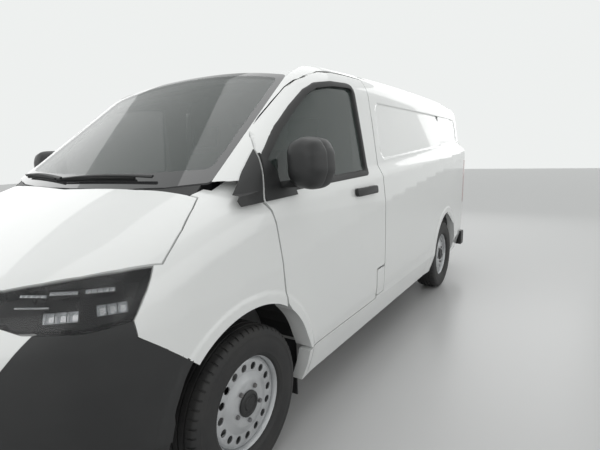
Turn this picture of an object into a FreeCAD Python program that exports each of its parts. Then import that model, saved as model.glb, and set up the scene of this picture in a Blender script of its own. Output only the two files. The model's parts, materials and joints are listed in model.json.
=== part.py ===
import FreeCAD, Part
import math
import os
from FreeCAD import Vector

# Panel van, millimetres. X points to the vehicle's left, Y to the rear, Z up.
# The origin is on the ground, under the middle of the bounding box.

# Overall sizes
NOSE_Y = -2525.0
TAIL_Y = 2525.0
SIDE_HALF = 1014.0
SIDE_OUT = SIDE_HALF + 186.0
SIDE_IN = SIDE_HALF - 314.0
DOOR_IN = SIDE_HALF - 414.0
SIDE_DEEP = SIDE_HALF - 514.0
ROOF_Z = 1978.0
SILL_Z = 262.0
FRONT_AXLE_Y = -1520.0
REAR_AXLE_Y = 1580.0

# Wheels
TYRE_RADIUS = 343.0
TYRE_WIDTH = 215.0
TYRE_SIDES = 36
RIM_SIDES = 32
RIM_RADIUS = 206.0
RIM_LIP = 14.0
RIM_WIDTH = 178.0
WHEEL_X = 868.0
WHEEL_Z = 343.0
HUB_BORE = 22.0
HUB_RADIUS = 75.0
CAP_RADIUS = 100.0
HOLE_COUNT = 16
HOLE_RADIUS = 16.5
HOLE_RING = 158.0
HOLE_SIDES = 6
FIT = 0.06

# Steering
KINGPIN_X = 790.0
KINGPIN_RADIUS = 16.0
KINGPIN_LOW_Z = 250.0
KINGPIN_HIGH_Z = 440.0

# Body side curve
SHOULDER_Z = 1078.0
SHOULDER_RISE = 0.1117
BELT_Z = 1336.0
BELT_RISE = 0.061
BELT_STEP = 90.0
UPPER_HALF = 953.0
UPPER_LEAN = 0.138
LOWER_LEAN = 0.10
LOWER_BULGE = 0.000024
UPPER_BULGE = 0.00002
TUCK_Z = 430.0
TUCK_SLOPE = 0.24
FRONT_TAPER_Y = -1300.0
FRONT_TAPER = 55.0
REAR_TAPER_Y = 1200.0
REAR_TAPER = 40.0

# Roof, windscreen, bonnet and nose curves
ROOF_CROWN = 0.000000000125
ROOF_PEAK_Y = 850.0
ROOF_BOW = 0.000011
ROOF_BLEND = 100.0
SCREEN_Y = -1750.0
SCREEN_Z = 1215.0
SCREEN_ANGLE = math.radians(36.786)
SCREEN_BARREL = 0.00015
BONNET_Y = -1600.0
BONNET_Z = 1310.0
BONNET_SLOPE = 0.336
BONNET_LIFT = 0.42
BONNET_DROP = 0.00019
BONNET_CROWN = 0.00000000014
NOSE_BOW = 0.00030
NOSE_Z = 540.0
NOSE_LEAN = 0.00055
TAIL_FACE_Y = 2488.0
TAIL_BOW = 0.00005
TAIL_LEAN = 0.00003
TAIL_Z = 900.0

# Walls and gaps
FLAT = 0.0000001
CHORD_ANGLE = 30.0
BAR_SIDES = 8
GAP = 7.0
BUTT = 0.8
RACK_X = 620.0
RACK_Y = (300.0, 2000.0)
RACK_HOLE = 5.0
PLATE_HOLE = 3.0
PLATE_X = 220.0
PLATE_Z = 520.0
SEAT = 0.3
WALL = 60.0
DOOR_WALL = 90.0
FRAME_WALL = 40.0
REAR_DOOR_WALL = 70.0
ROOF_WALL = 40.0
BONNET_WALL = 28.0
GLASS = 5.0
GLASS_INSET = 14.0
ARCH_RADIUS = 420.0
ARCH_Z = 372.0

DEG = math.pi / 180.0


# Plain helpers
def smooth_max(a, b, soft):
    h = max(soft - abs(a - b), 0.0)
    return max(a, b) + h * h / (4.0 * soft)


def ramp(t):
    t = min(max(t, 0.0), 1.0)
    return t * t * (3.0 - 2.0 * t)


def mirrored(shape):
    return shape.mirror(Vector(0, 0, 0), Vector(1, 0, 0))


def box(x0, x1, y0, y1, z0, z1):
    return Part.makeBox(x1 - x0, y1 - y0, z1 - z0, Vector(x0, y0, z0))


def rod(radius, start, end):
    start = Vector(*start)
    run = Vector(*end) - start
    return Part.makeCylinder(radius, run.Length, start, run)


def bar(radius, start, end, sides=BAR_SIDES):
    """Straight bar with flat sides, for tubes and legs that carry no fit."""
    start = Vector(*start)
    run = Vector(*end) - start
    ahead = run / run.Length
    across = ahead.cross(Vector(0, 0, 1))
    if across.Length < 0.1:
        across = Vector(1, 0, 0)
    across = across / across.Length
    up = across.cross(ahead)
    ring = []
    for i in range(sides):
        turn = 2.0 * math.pi * (i + 0.5) / sides
        ring.append(start + across * (radius * math.cos(turn)) + up * (radius * math.sin(turn)))
    return Part.Face(Part.makePolygon(ring + ring[:1])).extrude(run)


def outline(points, radius):
    """Closed face through the points, each corner rounded by short straight edges."""
    count = len(points)
    corners = []
    for i in range(count):
        p = points[i]
        a = points[i - 1] - p
        b = points[(i + 1) % count] - p
        la = a.Length
        lb = b.Length
        a = a / la
        b = b / lb
        angle = a.getAngle(b)
        back = min(radius / math.tan(angle / 2.0), 0.45 * la, 0.45 * lb)
        if radius <= 0.0 or back < 0.5 or angle > 2.9:
            corners.append(p)
            continue
        r = back * math.tan(angle / 2.0)
        across = a + b
        across = across / across.Length
        middle = p + across * (r / math.sin(angle / 2.0))
        turn = math.pi - angle
        chords = max(1, int(round(turn / math.radians(CHORD_ANGLE))))
        start = p + a * back - middle
        side = across * -1.0
        side = side - start * (side.dot(start) / start.dot(start))
        side = side * (start.Length / side.Length)
        for k in range(chords + 1):
            t = turn * k / chords
            corners.append(middle + start * math.cos(t) + side * math.sin(t))
    return Part.Face(Part.makePolygon(corners + corners[:1]))


def prism_x(points, x0, x1, radius=0.0):
    face = outline([Vector(x0, y, z) for y, z in points], radius)
    return face.extrude(Vector(x1 - x0, 0, 0))


def prism_y(points, y0, y1, radius=0.0):
    face = outline([Vector(x, y0, z) for x, z in points], radius)
    return face.extrude(Vector(0, y1 - y0, 0))


def prism_z(points, z0, z1, radius=0.0):
    face = outline([Vector(x, y, z0) for x, y in points], radius)
    return face.extrude(Vector(0, 0, z1 - z0))


def grown(points, amount):
    """The outline moved outwards by an amount, corner by corner."""
    area = 0.0
    count = len(points)
    for i in range(count):
        x0, y0 = points[i]
        x1, y1 = points[(i + 1) % count]
        area += x0 * y1 - x1 * y0
    turn = 1.0 if area > 0 else -1.0
    result = []
    for i in range(count):
        px, py = points[i - 1]
        cx, cy = points[i]
        nx, ny = points[(i + 1) % count]
        ax, ay = cx - px, cy - py
        bx, by = nx - cx, ny - cy
        la = math.hypot(ax, ay)
        lb = math.hypot(bx, by)
        n1 = (ay / la * turn, -ax / la * turn)
        n2 = (by / lb * turn, -bx / lb * turn)
        k = 1.0 + n1[0] * n2[0] + n1[1] * n2[1]
        result.append((cx + (n1[0] + n2[0]) / k * amount, cy + (n1[1] + n2[1]) / k * amount))
    return result


# Body form
def shoulder_z(y):
    return SHOULDER_Z + SHOULDER_RISE * y


def belt_z(y):
    return BELT_Z + BELT_RISE * y


def half_width(y, z):
    """Half the body's width: tuck, lower side, ledge under the belt line, upper side."""
    shoulder = shoulder_z(y)
    belt = belt_z(y)
    low = SIDE_HALF - LOWER_BULGE * max(shoulder - z, 0.0) ** 2
    low -= LOWER_LEAN * max(z - shoulder, 0.0)
    low -= TUCK_SLOPE * max(TUCK_Z - z, 0.0)
    above = max(z - BELT_Z, 0.0)
    high = UPPER_HALF - UPPER_LEAN * (z - BELT_Z) - UPPER_BULGE * above * above
    t = min(max((z - belt + BELT_STEP) / BELT_STEP, 0.0), 1.0)
    front = max(FRONT_TAPER_Y - y, 0.0) / 700.0
    rear = max(y - REAR_TAPER_Y, 0.0) / 1300.0
    return low + (high - low) * t - FRONT_TAPER * front * front - REAR_TAPER * rear * rear


def side_field(x, y, z):
    return abs(x) - half_width(y, z)


def roof_top(x, y):
    return ROOF_Z - ROOF_BOW * (y - ROOF_PEAK_Y) ** 2 - ROOF_CROWN * x ** 4


def roof_field(x, y, z):
    return z - roof_top(x, y)


def screen_field(x, y, z):
    back = y - (SCREEN_Y + SCREEN_BARREL * x * x)
    return (z - SCREEN_Z) * math.cos(SCREEN_ANGLE) - back * math.sin(SCREEN_ANGLE)


def bonnet_field(x, y, z):
    back = y - BONNET_Y
    return z - (BONNET_Z + BONNET_SLOPE * back - BONNET_DROP * back * back - BONNET_CROWN * x ** 4)


def nose_field(x, y, z):
    lean = NOSE_LEAN * (z - NOSE_Z) ** 2
    return NOSE_Y + NOSE_BOW * x * x + lean - y


def upper_form(x, y, z):
    return smooth_max(roof_field(x, y, z), screen_field(x, y, z), ROOF_BLEND)


def rail_form(x, y, z):
    return smooth_max(side_field(x, y, z), upper_form(x, y, z), 130.0)


def front_form(x, y, z):
    round_nose = smooth_max(side_field(x, y, z), nose_field(x, y, z), 360.0)
    return smooth_max(round_nose, bonnet_field(x, y, z), 120.0)


def corner_form(x, y, z):
    return smooth_max(side_field(x, y, z), nose_field(x, y, z), 360.0)


def cast(origin, direction, form, reach=1400.0):
    """The point on the ray from inside the body where the form is crossed."""
    low = 0.0
    high = reach
    for _ in range(34):
        mid = (low + high) / 2.0
        p = origin + direction * mid
        if form(p.x, p.y, p.z) < 0.0:
            low = mid
        else:
            high = mid
    return origin + direction * low


def span(a, b, count):
    return [a + (b - a) * i / (count - 1.0) for i in range(count)]


def flat_faces(a, b, c, d):
    """One face where four corners lie in a plane, else two along the shorter diagonal."""
    normal = (c - a).cross(d - b)
    if normal.Length < 0.001:
        return []
    if abs((b - a).dot(normal)) / normal.Length < FLAT:
        return [Part.Face(Part.makePolygon([a, b, c, d, a]))]
    if (c - a).Length < (d - b).Length:
        return [Part.Face(Part.makePolygon([a, b, c, a])), Part.Face(Part.makePolygon([a, c, d, a]))]
    return [Part.Face(Part.makePolygon([a, b, d, a])), Part.Face(Part.makePolygon([b, c, d, b]))]


def strips(rings, closed):
    """Solid of flat strips between rings of corners, all with the same count."""
    faces = []
    count = len(rings)
    for i in range(count if closed else count - 1):
        now = rings[i]
        after = rings[(i + 1) % count]
        for k in range(len(now)):
            n = (k + 1) % len(now)
            faces += flat_faces(now[k], now[n], after[n], after[k])
    if not closed:
        faces.append(Part.Face(Part.makePolygon(rings[0] + rings[0][:1])))
        faces.append(Part.Face(Part.makePolygon(rings[-1] + rings[-1][:1])))
    shell = Part.makeShell(faces)
    shell.sewShape()
    solid = Part.Solid(shell)
    if solid.Volume < 0:
        solid.reverse()
    return solid


def ribbed_loft(sections):
    """Solid through closed sections, each a pair of an outer and an inner line."""
    return strips([outer + inner[::-1] for outer, inner in sections], False)


def side_levels(y, low, high):
    """Heights of the section's corners: they follow the crease, ledge and belt lines."""
    belt = belt_z(y)
    shoulder = shoulder_z(y)
    marks = [SILL_Z, 345.0, TUCK_Z, 0.6 * TUCK_Z + 0.4 * shoulder, shoulder, belt - BELT_STEP, belt]
    marks += [belt + (1770.0 - belt) / 3.0, belt + (1770.0 - belt) / 1.5, 1770.0]
    inside = [z for z in marks if low + 8.0 < z < high - 8.0]
    return [low] + inside + [high]


def side_slab(stations, low, high, depth, inset=0.0):
    """Slab behind the side skin. The depth is a number, or a function of the height."""
    count = max(len(side_levels(y, low, high)) for y in stations)
    sections = []
    for y in stations:
        levels = side_levels(y, low, high)
        while len(levels) < count:
            levels.insert(-1, (levels[-2] + levels[-1]) / 2.0)
        outer = [Vector(half_width(y, z) - inset, y, z) for z in levels]
        inner = []
        for p in outer:
            inner.append(p - Vector(depth(p.z) if callable(depth) else depth, 0, 0))
        sections.append((outer, inner))
    return ribbed_loft(sections)


def fan(y, hub_x, hub_z, angles, form, depth):
    outer = []
    inner = []
    for angle in angles:
        direction = Vector(math.cos(angle * DEG), 0, math.sin(angle * DEG))
        p = cast(Vector(hub_x, y, hub_z), direction, form)
        outer.append(p)
        inner.append(p - direction * depth)
    return outer, inner


def rail_slab(depth):
    """Roof edge and windscreen pillar, from over the side to the roof panel."""
    sections = []
    for y in RAIL_STATIONS:
        edge = SCREEN_Z + (y - SCREEN_Y - SCREEN_BARREL * 640000.0) * math.tan(SCREEN_ANGLE)
        hub_z = min(1640.0, edge - 230.0)
        sections.append(fan(y, DOOR_IN + 40.0, hub_z, RAIL_ANGLES, rail_form, depth))
    return ribbed_loft(sections)


def wing_slab(depth):
    sections = []
    for y in [-2110, -2020, -1940, -1860, -1760, -1660, -1560, -1460, -1370]:
        outer = []
        inner = []
        for z in [470.0, 600.0, 730.0, 860.0]:
            p = cast(Vector(0, y, z), Vector(1, 0, 0), corner_form)
            outer.append(p)
            inner.append(p - Vector(depth, 0, 0))
        top = fan(y, DOOR_IN, 900.0, [8, 16, 24, 32, 40, 48, 56, 64], front_form, depth)
        sections.append((outer + top[0], inner + top[1]))
    return ribbed_loft(sections)


def nose_slab(levels, depth, turn=66.0, count=15, inset=0.0):
    sections = []
    for angle in span(-turn, turn, count):
        direction = Vector(math.sin(angle * DEG), -math.cos(angle * DEG), 0)
        outer = [cast(Vector(0, -1500, z), direction, front_form) - direction * inset for z in levels]
        inner = [p - direction * depth for p in outer]
        sections.append((outer, inner))
    return ribbed_loft(sections)


def roof_slab(y0, y1, half, depth):
    sections = []
    for y in span(y0, y1, 8):
        outer = []
        for x in span(-half, half, 9):
            outer.append(cast(Vector(x, y, 1200.0), Vector(0, 0, 1), rail_form))
        sections.append((outer, [p - Vector(0, 0, depth) for p in outer]))
    return ribbed_loft(sections)


def bonnet_slab(depth):
    sections = []
    for y in [-2420, -2350, -2250, -2100, -1980, -1880, -1780, -1640, -1500]:
        reach = cast(Vector(0, y, 820.0), Vector(1, 0, 0), corner_form).x
        half = min(0.96 * reach, BONNET_REACH)
        outer = []
        for turn in span(-80.0, 80.0, 13):
            x = half * math.sin(turn * DEG) / math.sin(80.0 * DEG)
            outer.append(cast(Vector(x, y, 500), Vector(0, 0, 1), front_form))
        sections.append((outer, [p - Vector(0, 0, depth) for p in outer]))
    return ribbed_loft(sections)


def screen_foot(x):
    """The windscreen's bottom edge from above: its y at each x."""
    z = SCREEN_FOOT_Z + SCREEN_FOOT_RISE * (x / SCREEN_HALF_LOW) ** 4
    return SCREEN_Y + (z - SCREEN_Z) / math.tan(SCREEN_ANGLE) + SCREEN_BARREL * x * x


def screen_slab(half, depth):
    into = Vector(0, math.sin(SCREEN_ANGLE), -math.cos(SCREEN_ANGLE))
    sections = []
    for x in span(-half, half, 13):
        outer = []
        for t in (0.0, 0.5, 0.75, 0.88, 1.0):
            y = (screen_foot(x) - 20.0) * (1.0 - t) + (SCREEN_TOP_Y + 20.0) * t
            outer.append(cast(Vector(x, y, 900), Vector(0, 0, 1), upper_form))
        sections.append((outer, [p + into * depth for p in outer]))
    return ribbed_loft(sections)


def door_section(y, depth, inset):
    """Section of the front door: straight below, round a hub at the window."""
    edge = SCREEN_Z + (y - SCREEN_Y - SCREEN_BARREL * 640000.0) * math.tan(SCREEN_ANGLE)
    belt = belt_z(y)
    hub = Vector(DOOR_IN + 40.0, y, max(belt + 10.0, min(1640.0, edge - 150.0)))
    outer = []
    inner = []
    for z in [425.0, 640.0, 850.0, shoulder_z(y), belt - BELT_STEP, belt, (belt + hub.z) / 2.0]:
        p = Vector(half_width(y, z) - inset, y, z)
        outer.append(p)
        inner.append(p - Vector(depth(z), 0, 0))
    for angle in (0, 9, 18, 27, 36, 45, 55, 65):
        direction = Vector(math.cos(angle * DEG), 0, math.sin(angle * DEG))
        p = cast(hub, direction, rail_form) - direction * inset
        outer.append(p)
        inner.append(p - direction * depth(p.z))
    return outer, inner


def door_slab(stations, depth, inset=0.0):
    return ribbed_loft([door_section(y, depth, inset) for y in stations])


def tail_slab(x0, x1, levels, depth, inset=0.0):
    sections = []
    for x in span(x0, x1, 6):
        outer = []
        for z in levels:
            y = TAIL_FACE_Y - TAIL_BOW * x * x - TAIL_LEAN * (z - TAIL_Z) ** 2 - inset
            outer.append(Vector(x, y, z))
        sections.append((outer, [p - Vector(0, depth, 0) for p in outer]))
    return ribbed_loft(sections)


# Outlines seen from the side, as (y, z)
DOOR_FRONT_Y = -1380.0
DOOR_REAR_Y = -109.0
SWING_GAP = 10.0
DOOR_LOW_Z = 436.0
DOOR_TOP = [(-1313, 1430), (-1268, 1490), (-1238, 1517), (-1140, 1594), (-1048, 1662), (-933, 1746), (-865, 1787),
            (-789, 1819), (-675, 1851), (-514, 1874), (-317, 1884), (-112, 1884)]
DOOR_LOW = [(DOOR_REAR_Y, 643), (-245, 643), (-245, DOOR_LOW_Z), (-1090, DOOR_LOW_Z), (-1150, 560), (-1288, 735),
            (-1308, 900), (-1317, 1015), (-1326, 1114), (-1345, 1172), (DOOR_FRONT_Y, 1222)]
DOOR_OUTLINE = DOOR_LOW + DOOR_TOP
DOOR_STATIONS = [-1395, -1330, -1260, -1170, -1060, -940, -800, -600, -350, -95]
GLASS_OUTLINE = [(-300, 1290), (-1262, 1262), (-1296, 1392), (-1150, 1520), (-1008, 1626), (-868, 1720),
                 (-772, 1762), (-596, 1790), (-400, 1802), (-340, 1798)]
SAIL_OUTLINE = [(-1372, 1228), (-1318, 1418), (-1262, 1330), (-1246, 1264), (-1135, 1252), (-1135, 1222), (-1372, 1214)]
TRIM_OUTLINE = [(-1542, 1232), (-1450, 1322), (-1389, 1376), (-1322, 1434), (-1388, 1224), (-1388, 1213), (-1529, 1208)]
RAIL_STATIONS = [-1550, -1470, -1380, -1290, -1190, -1080, -960, -840, -720, -480, -150, 300, 900, 1500, 2000, 2300,
                 2460]
RAIL_ANGLES = [0, 10, 20, 30, 40, 50, 60, 70]
BONNET_REACH = 932.0
ROOF_SEAM_X = 812.0
CAB_SEAM_X = 748.0
CAB_END_Y = -90.0
FRAME_X = 788.0

# Body panels
REAR_ARCH_RADIUS = 415.0
SIDE_END_Y = 2440.0
RAIL_LOW_Z = 1770.0
FLAP = [(-110, 452), (-232, 452), (-232, 630), (-110, 630)]
FLAP_WALL = 6.0
FLAP_DEPTH = 46.0
ROOF_FRONT_Y = -852.0
HINGE_LEVELS = (640.0, 1340.0)
SLIDER = [(-99, 446), (1085, 446), (1085, 1790), (-99, 1790)]
SCREEN_HALF_LOW = 816.0
SCREEN_HALF_TOP = 738.0
SCREEN_TOP_Y = -812.0
SCREEN_TOP_DIP = 26.0
SCREEN_FOOT_Z = 1276.0
SCREEN_FOOT_RISE = 28.0
PILLAR_FOOT_Z = 1306.0
COWL_REACH = 36.0
GRILLE_TOP_Z = 1020.0
BUMPER_TOP_Z = 872.0
LAMP_INNER_X = 470.0
WING_FRONT = [(-1800, 655), (-1890, 737), (-1955, 794), (-2014, 843), (-2016, 896), (-1953, 990), (-1903, 1066),
              (-1860, 1150)]
LAMP_LOW = [(-2082, 889), (-2139, 882), (-2212, 890), (-2256, 893), (-2292, 916), (-2600, 925)]
INTAKE = [(-380, 330), (380, 330), (430, 480), (-430, 480)]
CORNER_LINE = [(760, 925), (741, 890), (699, 814), (600, 640), (560, 560), (560, 200)]
REAR_SILL_Z = 470.0
TAIL_TOP_Z = 1846.0
REAR_DOOR_X = 925.0
DOOR_FLANGE = 58.0
HEADER = 92.0
LAMP_TAIL = [(2385, 800), (2460, 800), (2460, 1290), (2385, 1290)]


def arch_cut(axle_y, radius, x0, x1):
    return rod(radius, (x0, axle_y - 5.0, ARCH_Z), (x1, axle_y - 5.0, ARCH_Z))


def screen_outline(extra):
    """Windscreen from above, as (x, y), grown by an amount."""
    points = []
    for x in span(-SCREEN_HALF_LOW, SCREEN_HALF_LOW, 9):
        points.append((x, screen_foot(x)))
    for x in span(SCREEN_HALF_TOP, -SCREEN_HALF_TOP, 7):
        points.append((x, SCREEN_TOP_Y - SCREEN_TOP_DIP * (x / SCREEN_HALF_TOP) ** 2))
    return grown(points, extra) if extra else points


BONNET_FRONT = [(0, -2290, 1000), (250, -2282, 1002), (420, -2262, 1004), (553, -2230, 1005), (663, -2164, 1026),
                (760, -2086, 1042), (843, -1997, 1054), (914, -1889, 1061)]
BONNET_SIDE = [(914, -1889), (904, -1832), (887, -1768), (842, -1668), (808, -1608), (500, -1666), (0, -1703)]


def bonnet_prism(extra):
    """Room of the bonnet, grown by a gap. Its front leans as the bonnet's edge moves when it lifts."""
    front = [(x, y + BONNET_LIFT * (z - 600.0)) for x, y, z in BONNET_FRONT] + [(1300, -1302 + BONNET_LIFT * 461.0)]
    front = front + [(1300, -700), (-1300, -700)] + [(-x, y) for x, y in front[1:]][::-1]
    lean = Part.Face(Part.makePolygon([Vector(x, y, 600) for x, y in grown(front, extra) + grown(front, extra)[:1]]))
    lean = lean.extrude(Vector(0, -BONNET_LIFT * 900.0, 900.0))
    side = BONNET_SIDE + [(-x, y) for x, y in BONNET_SIDE[:-1]][::-1]
    side = [(-914, -2800), (914, -2800)] + side
    return prism_z(grown(side, extra), 601, 1499).common(lean)


def side_panel():
    stations = [DOOR_REAR_Y + SWING_GAP, SIDE_IN, SIDE_OUT, 1800, 2200, SIDE_END_Y]
    lower = side_slab(stations, SILL_Z, RAIL_LOW_Z, WALL)
    front_sill = side_slab([-1125, DOOR_REAR_Y + SWING_GAP], SILL_Z, DOOR_LOW_Z - GAP, WALL)
    flap_wall = side_slab([-233, DOOR_REAR_Y + SWING_GAP], DOOR_LOW_Z - GAP, 643 - GAP, WALL)
    rail = rail_slab(42.0)
    rail = rail.cut(prism_x(grown(DOOR_OUTLINE, GAP), FRAME_X - GAP, SIDE_OUT))
    rail = rail.common(prism_x([(-1545, PILLAR_FOOT_Z + BUTT), (-1545, 1340), (-900, 2010), (SIDE_END_Y, 2010),
                                (SIDE_END_Y, RAIL_LOW_Z), (-99, RAIL_LOW_Z), (-99, 1600),
                                (-1385, PILLAR_FOOT_Z + BUTT)], SIDE_DEEP, SIDE_OUT))
    rail = rail.cut(prism_z(screen_outline(SEAT), 1000, 2100))
    rail = rail.cut(box(0, ROOF_SEAM_X, CAB_END_Y, 2600, 1500, 2100))
    rail = rail.cut(box(0, CAB_SEAM_X, ROOF_FRONT_Y, CAB_END_Y, 1500, 2100))
    whole = lower.fuse([front_sill, flap_wall, rail])
    whole = whole.cut(arch_cut(REAR_AXLE_Y, REAR_ARCH_RADIUS, SIDE_IN, SIDE_OUT))
    whole = whole.cut(arch_cut(FRONT_AXLE_Y, ARCH_RADIUS, SIDE_IN, SIDE_OUT))
    whole = whole.cut(prism_x(grown(DOOR_OUTLINE, GAP), SIDE_IN, SIDE_OUT))
    whole = whole.cut(prism_y(grown(rear_door_outline(), GAP), 2300, 2600))
    whole = whole.cut(box(0, 1200, 2342.5, 2600, 200, 456 + SEAT))
    for z in HINGE_LEVELS:
        whole = whole.fuse(prism_z([(955, 2400), (938, 2484), (938, 2504), (922, 2504), (922, 2484), (925, 2400)],
                                   z + 36.0, z + 66.0))
    return whole.cut(prism_x(grown(LAMP_TAIL, BUTT), SIDE_HALF - 114.0, SIDE_OUT))


def blank_window(y0, y1):
    """Shallow pressing where a window would be: it follows the belt line and the roof edge."""
    slab = side_slab([y0 - 60.0, (y0 + y1) / 2.0, y1 + 60.0], 1280.0, 1760.0, 12.0, -6.0)
    low = 24.0
    points = [(y0, belt_z(y0) + low), (y1 - 60.0, belt_z(y1 - 60.0) + low), (y1, belt_z(y1) + 90.0), (y1, 1738.0),
              (y0, 1738.0)]
    return slab.common(prism_x(points, SIDE_IN, SIDE_OUT, 40.0))


def largest(shape):
    return max(shape.Solids, key=lambda solid: solid.Volume)


def left_side_panel():
    panel = side_panel()
    pocket = prism_x(grown(FLAP, GAP - 1.0), SIDE_HALF - FLAP_DEPTH, SIDE_OUT + 100.0)
    return largest(panel.cut([pocket, blank_window(-20.0, 2330.0)]))


def right_side_panel():
    panel = side_panel().cut([prism_x(grown(SLIDER, GAP), SIDE_IN, SIDE_OUT), blank_window(1190.0, 2330.0)])
    return mirrored(largest(panel))


def sliding_door():
    slab = side_slab([-99, 500, 1085], SLIDER[0][1], SLIDER[2][1], 55.0)
    return mirrored(slab.common(prism_x(SLIDER, SIDE_IN, SIDE_OUT, 30.0)).cut(blank_window(0.0, 990.0)))


def filler_flap():
    slab = side_slab([-240, -96], 445, 640, FLAP_WALL)
    return slab.common(prism_x(FLAP, SIDE_IN, SIDE_OUT, 12.0))


def roof():
    slab = roof_slab(ROOF_FRONT_Y + BUTT, SIDE_END_Y, ROOF_SEAM_X - BUTT, ROOF_WALL)
    slab = slab.cut(prism_z(screen_outline(SEAT), 1000, 2100))
    header = roof_slab(2330, SIDE_END_Y, ROOF_SEAM_X - BUTT, 120.0)
    header = header.cut(prism_y(grown(rear_door_outline(), GAP), 2300, 2600))
    header = header.cut(prism_y(grown([(-x, z) for x, z in rear_door_outline()], GAP), 2300, 2600))
    slab = slab.fuse(largest(header))
    for side in (1, -1):
        slab = slab.cut(box(*sorted((side * (CAB_SEAM_X - BUTT), side * SIDE_OUT)), -900, CAB_END_Y, 1500, 2100))
    for x in (-RACK_X, RACK_X):
        for y in RACK_Y:
            slab = slab.cut(rod(RACK_HOLE, (x, y, 1700), (x, y, 2100)))
    return slab


def wing():
    slab = wing_slab(36.0)
    slab = slab.cut(prism_x(grown(DOOR_OUTLINE, GAP), SIDE_DEEP, SIDE_OUT))
    keep = prism_x(WING_FRONT + [(-1560, 1345), (-1531, PILLAR_FOOT_Z), (-1370, PILLAR_FOOT_Z), (-1370, 1150),
                                 (-1280, 700), (-1525, 560)], SIDE_DEEP, SIDE_OUT)
    slab = slab.common(keep)
    slab = slab.cut(arch_cut(FRONT_AXLE_Y, ARCH_RADIUS, SIDE_DEEP, SIDE_OUT))
    slab = slab.cut(bonnet_prism(GAP))
    return largest(slab.cut(prism_z(screen_outline(BUTT), 700, 1500)))


def hinge_pillar():
    """Post behind the wing that carries the front door, seated on the wing's inner face."""
    post = box(SIDE_HALF - 214.0, SIDE_HALF - 14.0, -1432, DOOR_FRONT_Y - GAP - 2.0, 832, 1200)
    return largest(post.cut(wing_slab(36.0 + SEAT)))


def firewall():
    """Wall between engine and cabin, with the shelf that carries the scuttle."""
    upper = box(-800 + SEAT, 800 - SEAT, -1448, -1432, 832, 1160)
    lower = box(-540, 540, -1448, -1432, 640, 832)
    shelf = box(-700, 700, -1706, -1448, 1118, 1134)
    return upper.fuse([lower, shelf])


def windscreen():
    slab = screen_slab(850.0, 6.0)
    return slab.common(prism_z(screen_outline(0), 900, 2200, 26.0))


def bonnet():
    slab = bonnet_slab(BONNET_WALL)
    shape = largest(slab.common(bonnet_prism(0)))
    return shape


def cowl():
    """Scuttle between bonnet and windscreen, with its plenum wall."""
    sections = []
    low = 1134.0 + SEAT
    for x in span(-776, 776, 9):
        y = screen_foot(x) - 3.0
        z = SCREEN_Z + (y - SCREEN_Y - SCREEN_BARREL * x * x) * math.tan(SCREEN_ANGLE)
        outer = [Vector(x, y, z - 3.0), Vector(x, y - COWL_REACH, z - 38.0), Vector(x, y - COWL_REACH, low)]
        inner = [Vector(x, y, z - 12.0), Vector(x, y - COWL_REACH + 8.0, z - 47.0), Vector(x, y - COWL_REACH + 8.0, low)]
        sections.append((outer, inner))
    return ribbed_loft(sections)


def front_skin(z0, z1, depth=42.0):
    levels = [z0] + [z for z in (330.0, 440.0, 560.0, 700.0, 850.0, 960.0) if z0 + 20 < z < z1 - 20] + [z1]
    return nose_slab(levels, depth)


def shifted(points, dy, dz):
    return [(y + dy, z + dz) for y, z in points]


def bumper_mask():
    """Everything of the nose that belongs to the bumper, ahead of the arch and under the lamp."""
    rear = shifted(WING_FRONT[:4], -BUTT, 0) + [(-2016 - BUTT, 896)]
    return prism_x([(-2600, 240), (-1800 - BUTT, 240)] + rear + LAMP_LOW, -1100, 1100)


def bumper():
    skin = front_skin(250.0, 940.0).common(bumper_mask())
    skin = skin.cut(arch_cut(FRONT_AXLE_Y, ARCH_RADIUS + 4, -SIDE_OUT, SIDE_OUT))
    skin = skin.cut(box(-LAMP_INNER_X, LAMP_INNER_X, -2600, -2000, BUMPER_TOP_Z, 1000))
    side = prism_y(CORNER_LINE + [(SIDE_OUT, 200), (SIDE_OUT, 925)], -2600, -1500)
    inner = [(x - BUTT, z) for x, z in CORNER_LINE]
    middle = prism_y(inner + [(-x, z) for x, z in inner][::-1], -2600, -1500)
    centre = skin.common(middle)
    for x in (-PLATE_X, PLATE_X):
        centre = centre.cut(rod(PLATE_HOLE, (x, -2700, PLATE_Z), (x, -2300, PLATE_Z)))
    centre = centre.cut(prism_y(INTAKE, -2600, -2200))
    corner = largest(skin.common(side))
    return largest(centre), corner


def lamp_region():
    """Headlamp from the side: it rests on the bumper and meets the wing."""
    rear = shifted(WING_FRONT[4:], -BUTT, 0)
    low = shifted(LAMP_LOW, 0, BUTT)[::-1]
    return prism_x([(-2600, 1150)] + low + [(-2016 - BUTT, 896 + BUTT)] + rear[1:], LAMP_INNER_X, 1100)


def headlamps():
    levels = [860.0, 920.0, 980.0, 1030.0, 1075.0, 1120.0]
    body = nose_slab(levels, 90.0, 66.0, 21, 5.0 + SEAT).common(lamp_region())
    lens = nose_slab(levels, 5.0, 66.0, 21).common(lamp_region())
    hood = bonnet_prism(GAP + 1.0)
    return largest(body.cut(hood)), largest(lens.cut(hood))


def grille():
    """Grille bar with open slots between the headlamps."""
    skin = nose_slab([840.0, 890.0, 940.0, 985.0, GRILLE_TOP_Z], 36.0)
    half = LAMP_INNER_X - BUTT
    frame = skin.common(box(-half, half, -2600, -2100, BUMPER_TOP_Z + BUTT, GRILLE_TOP_Z))
    frame = largest(frame.cut(bonnet_prism(GAP)))
    for z in (888.0, 914.0, 940.0):
        for x0, x1 in ((-440, -12), (12, 440)):
            frame = frame.cut(box(x0, x1, -2600, -2100, z, z + 12.0))
    return frame


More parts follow.
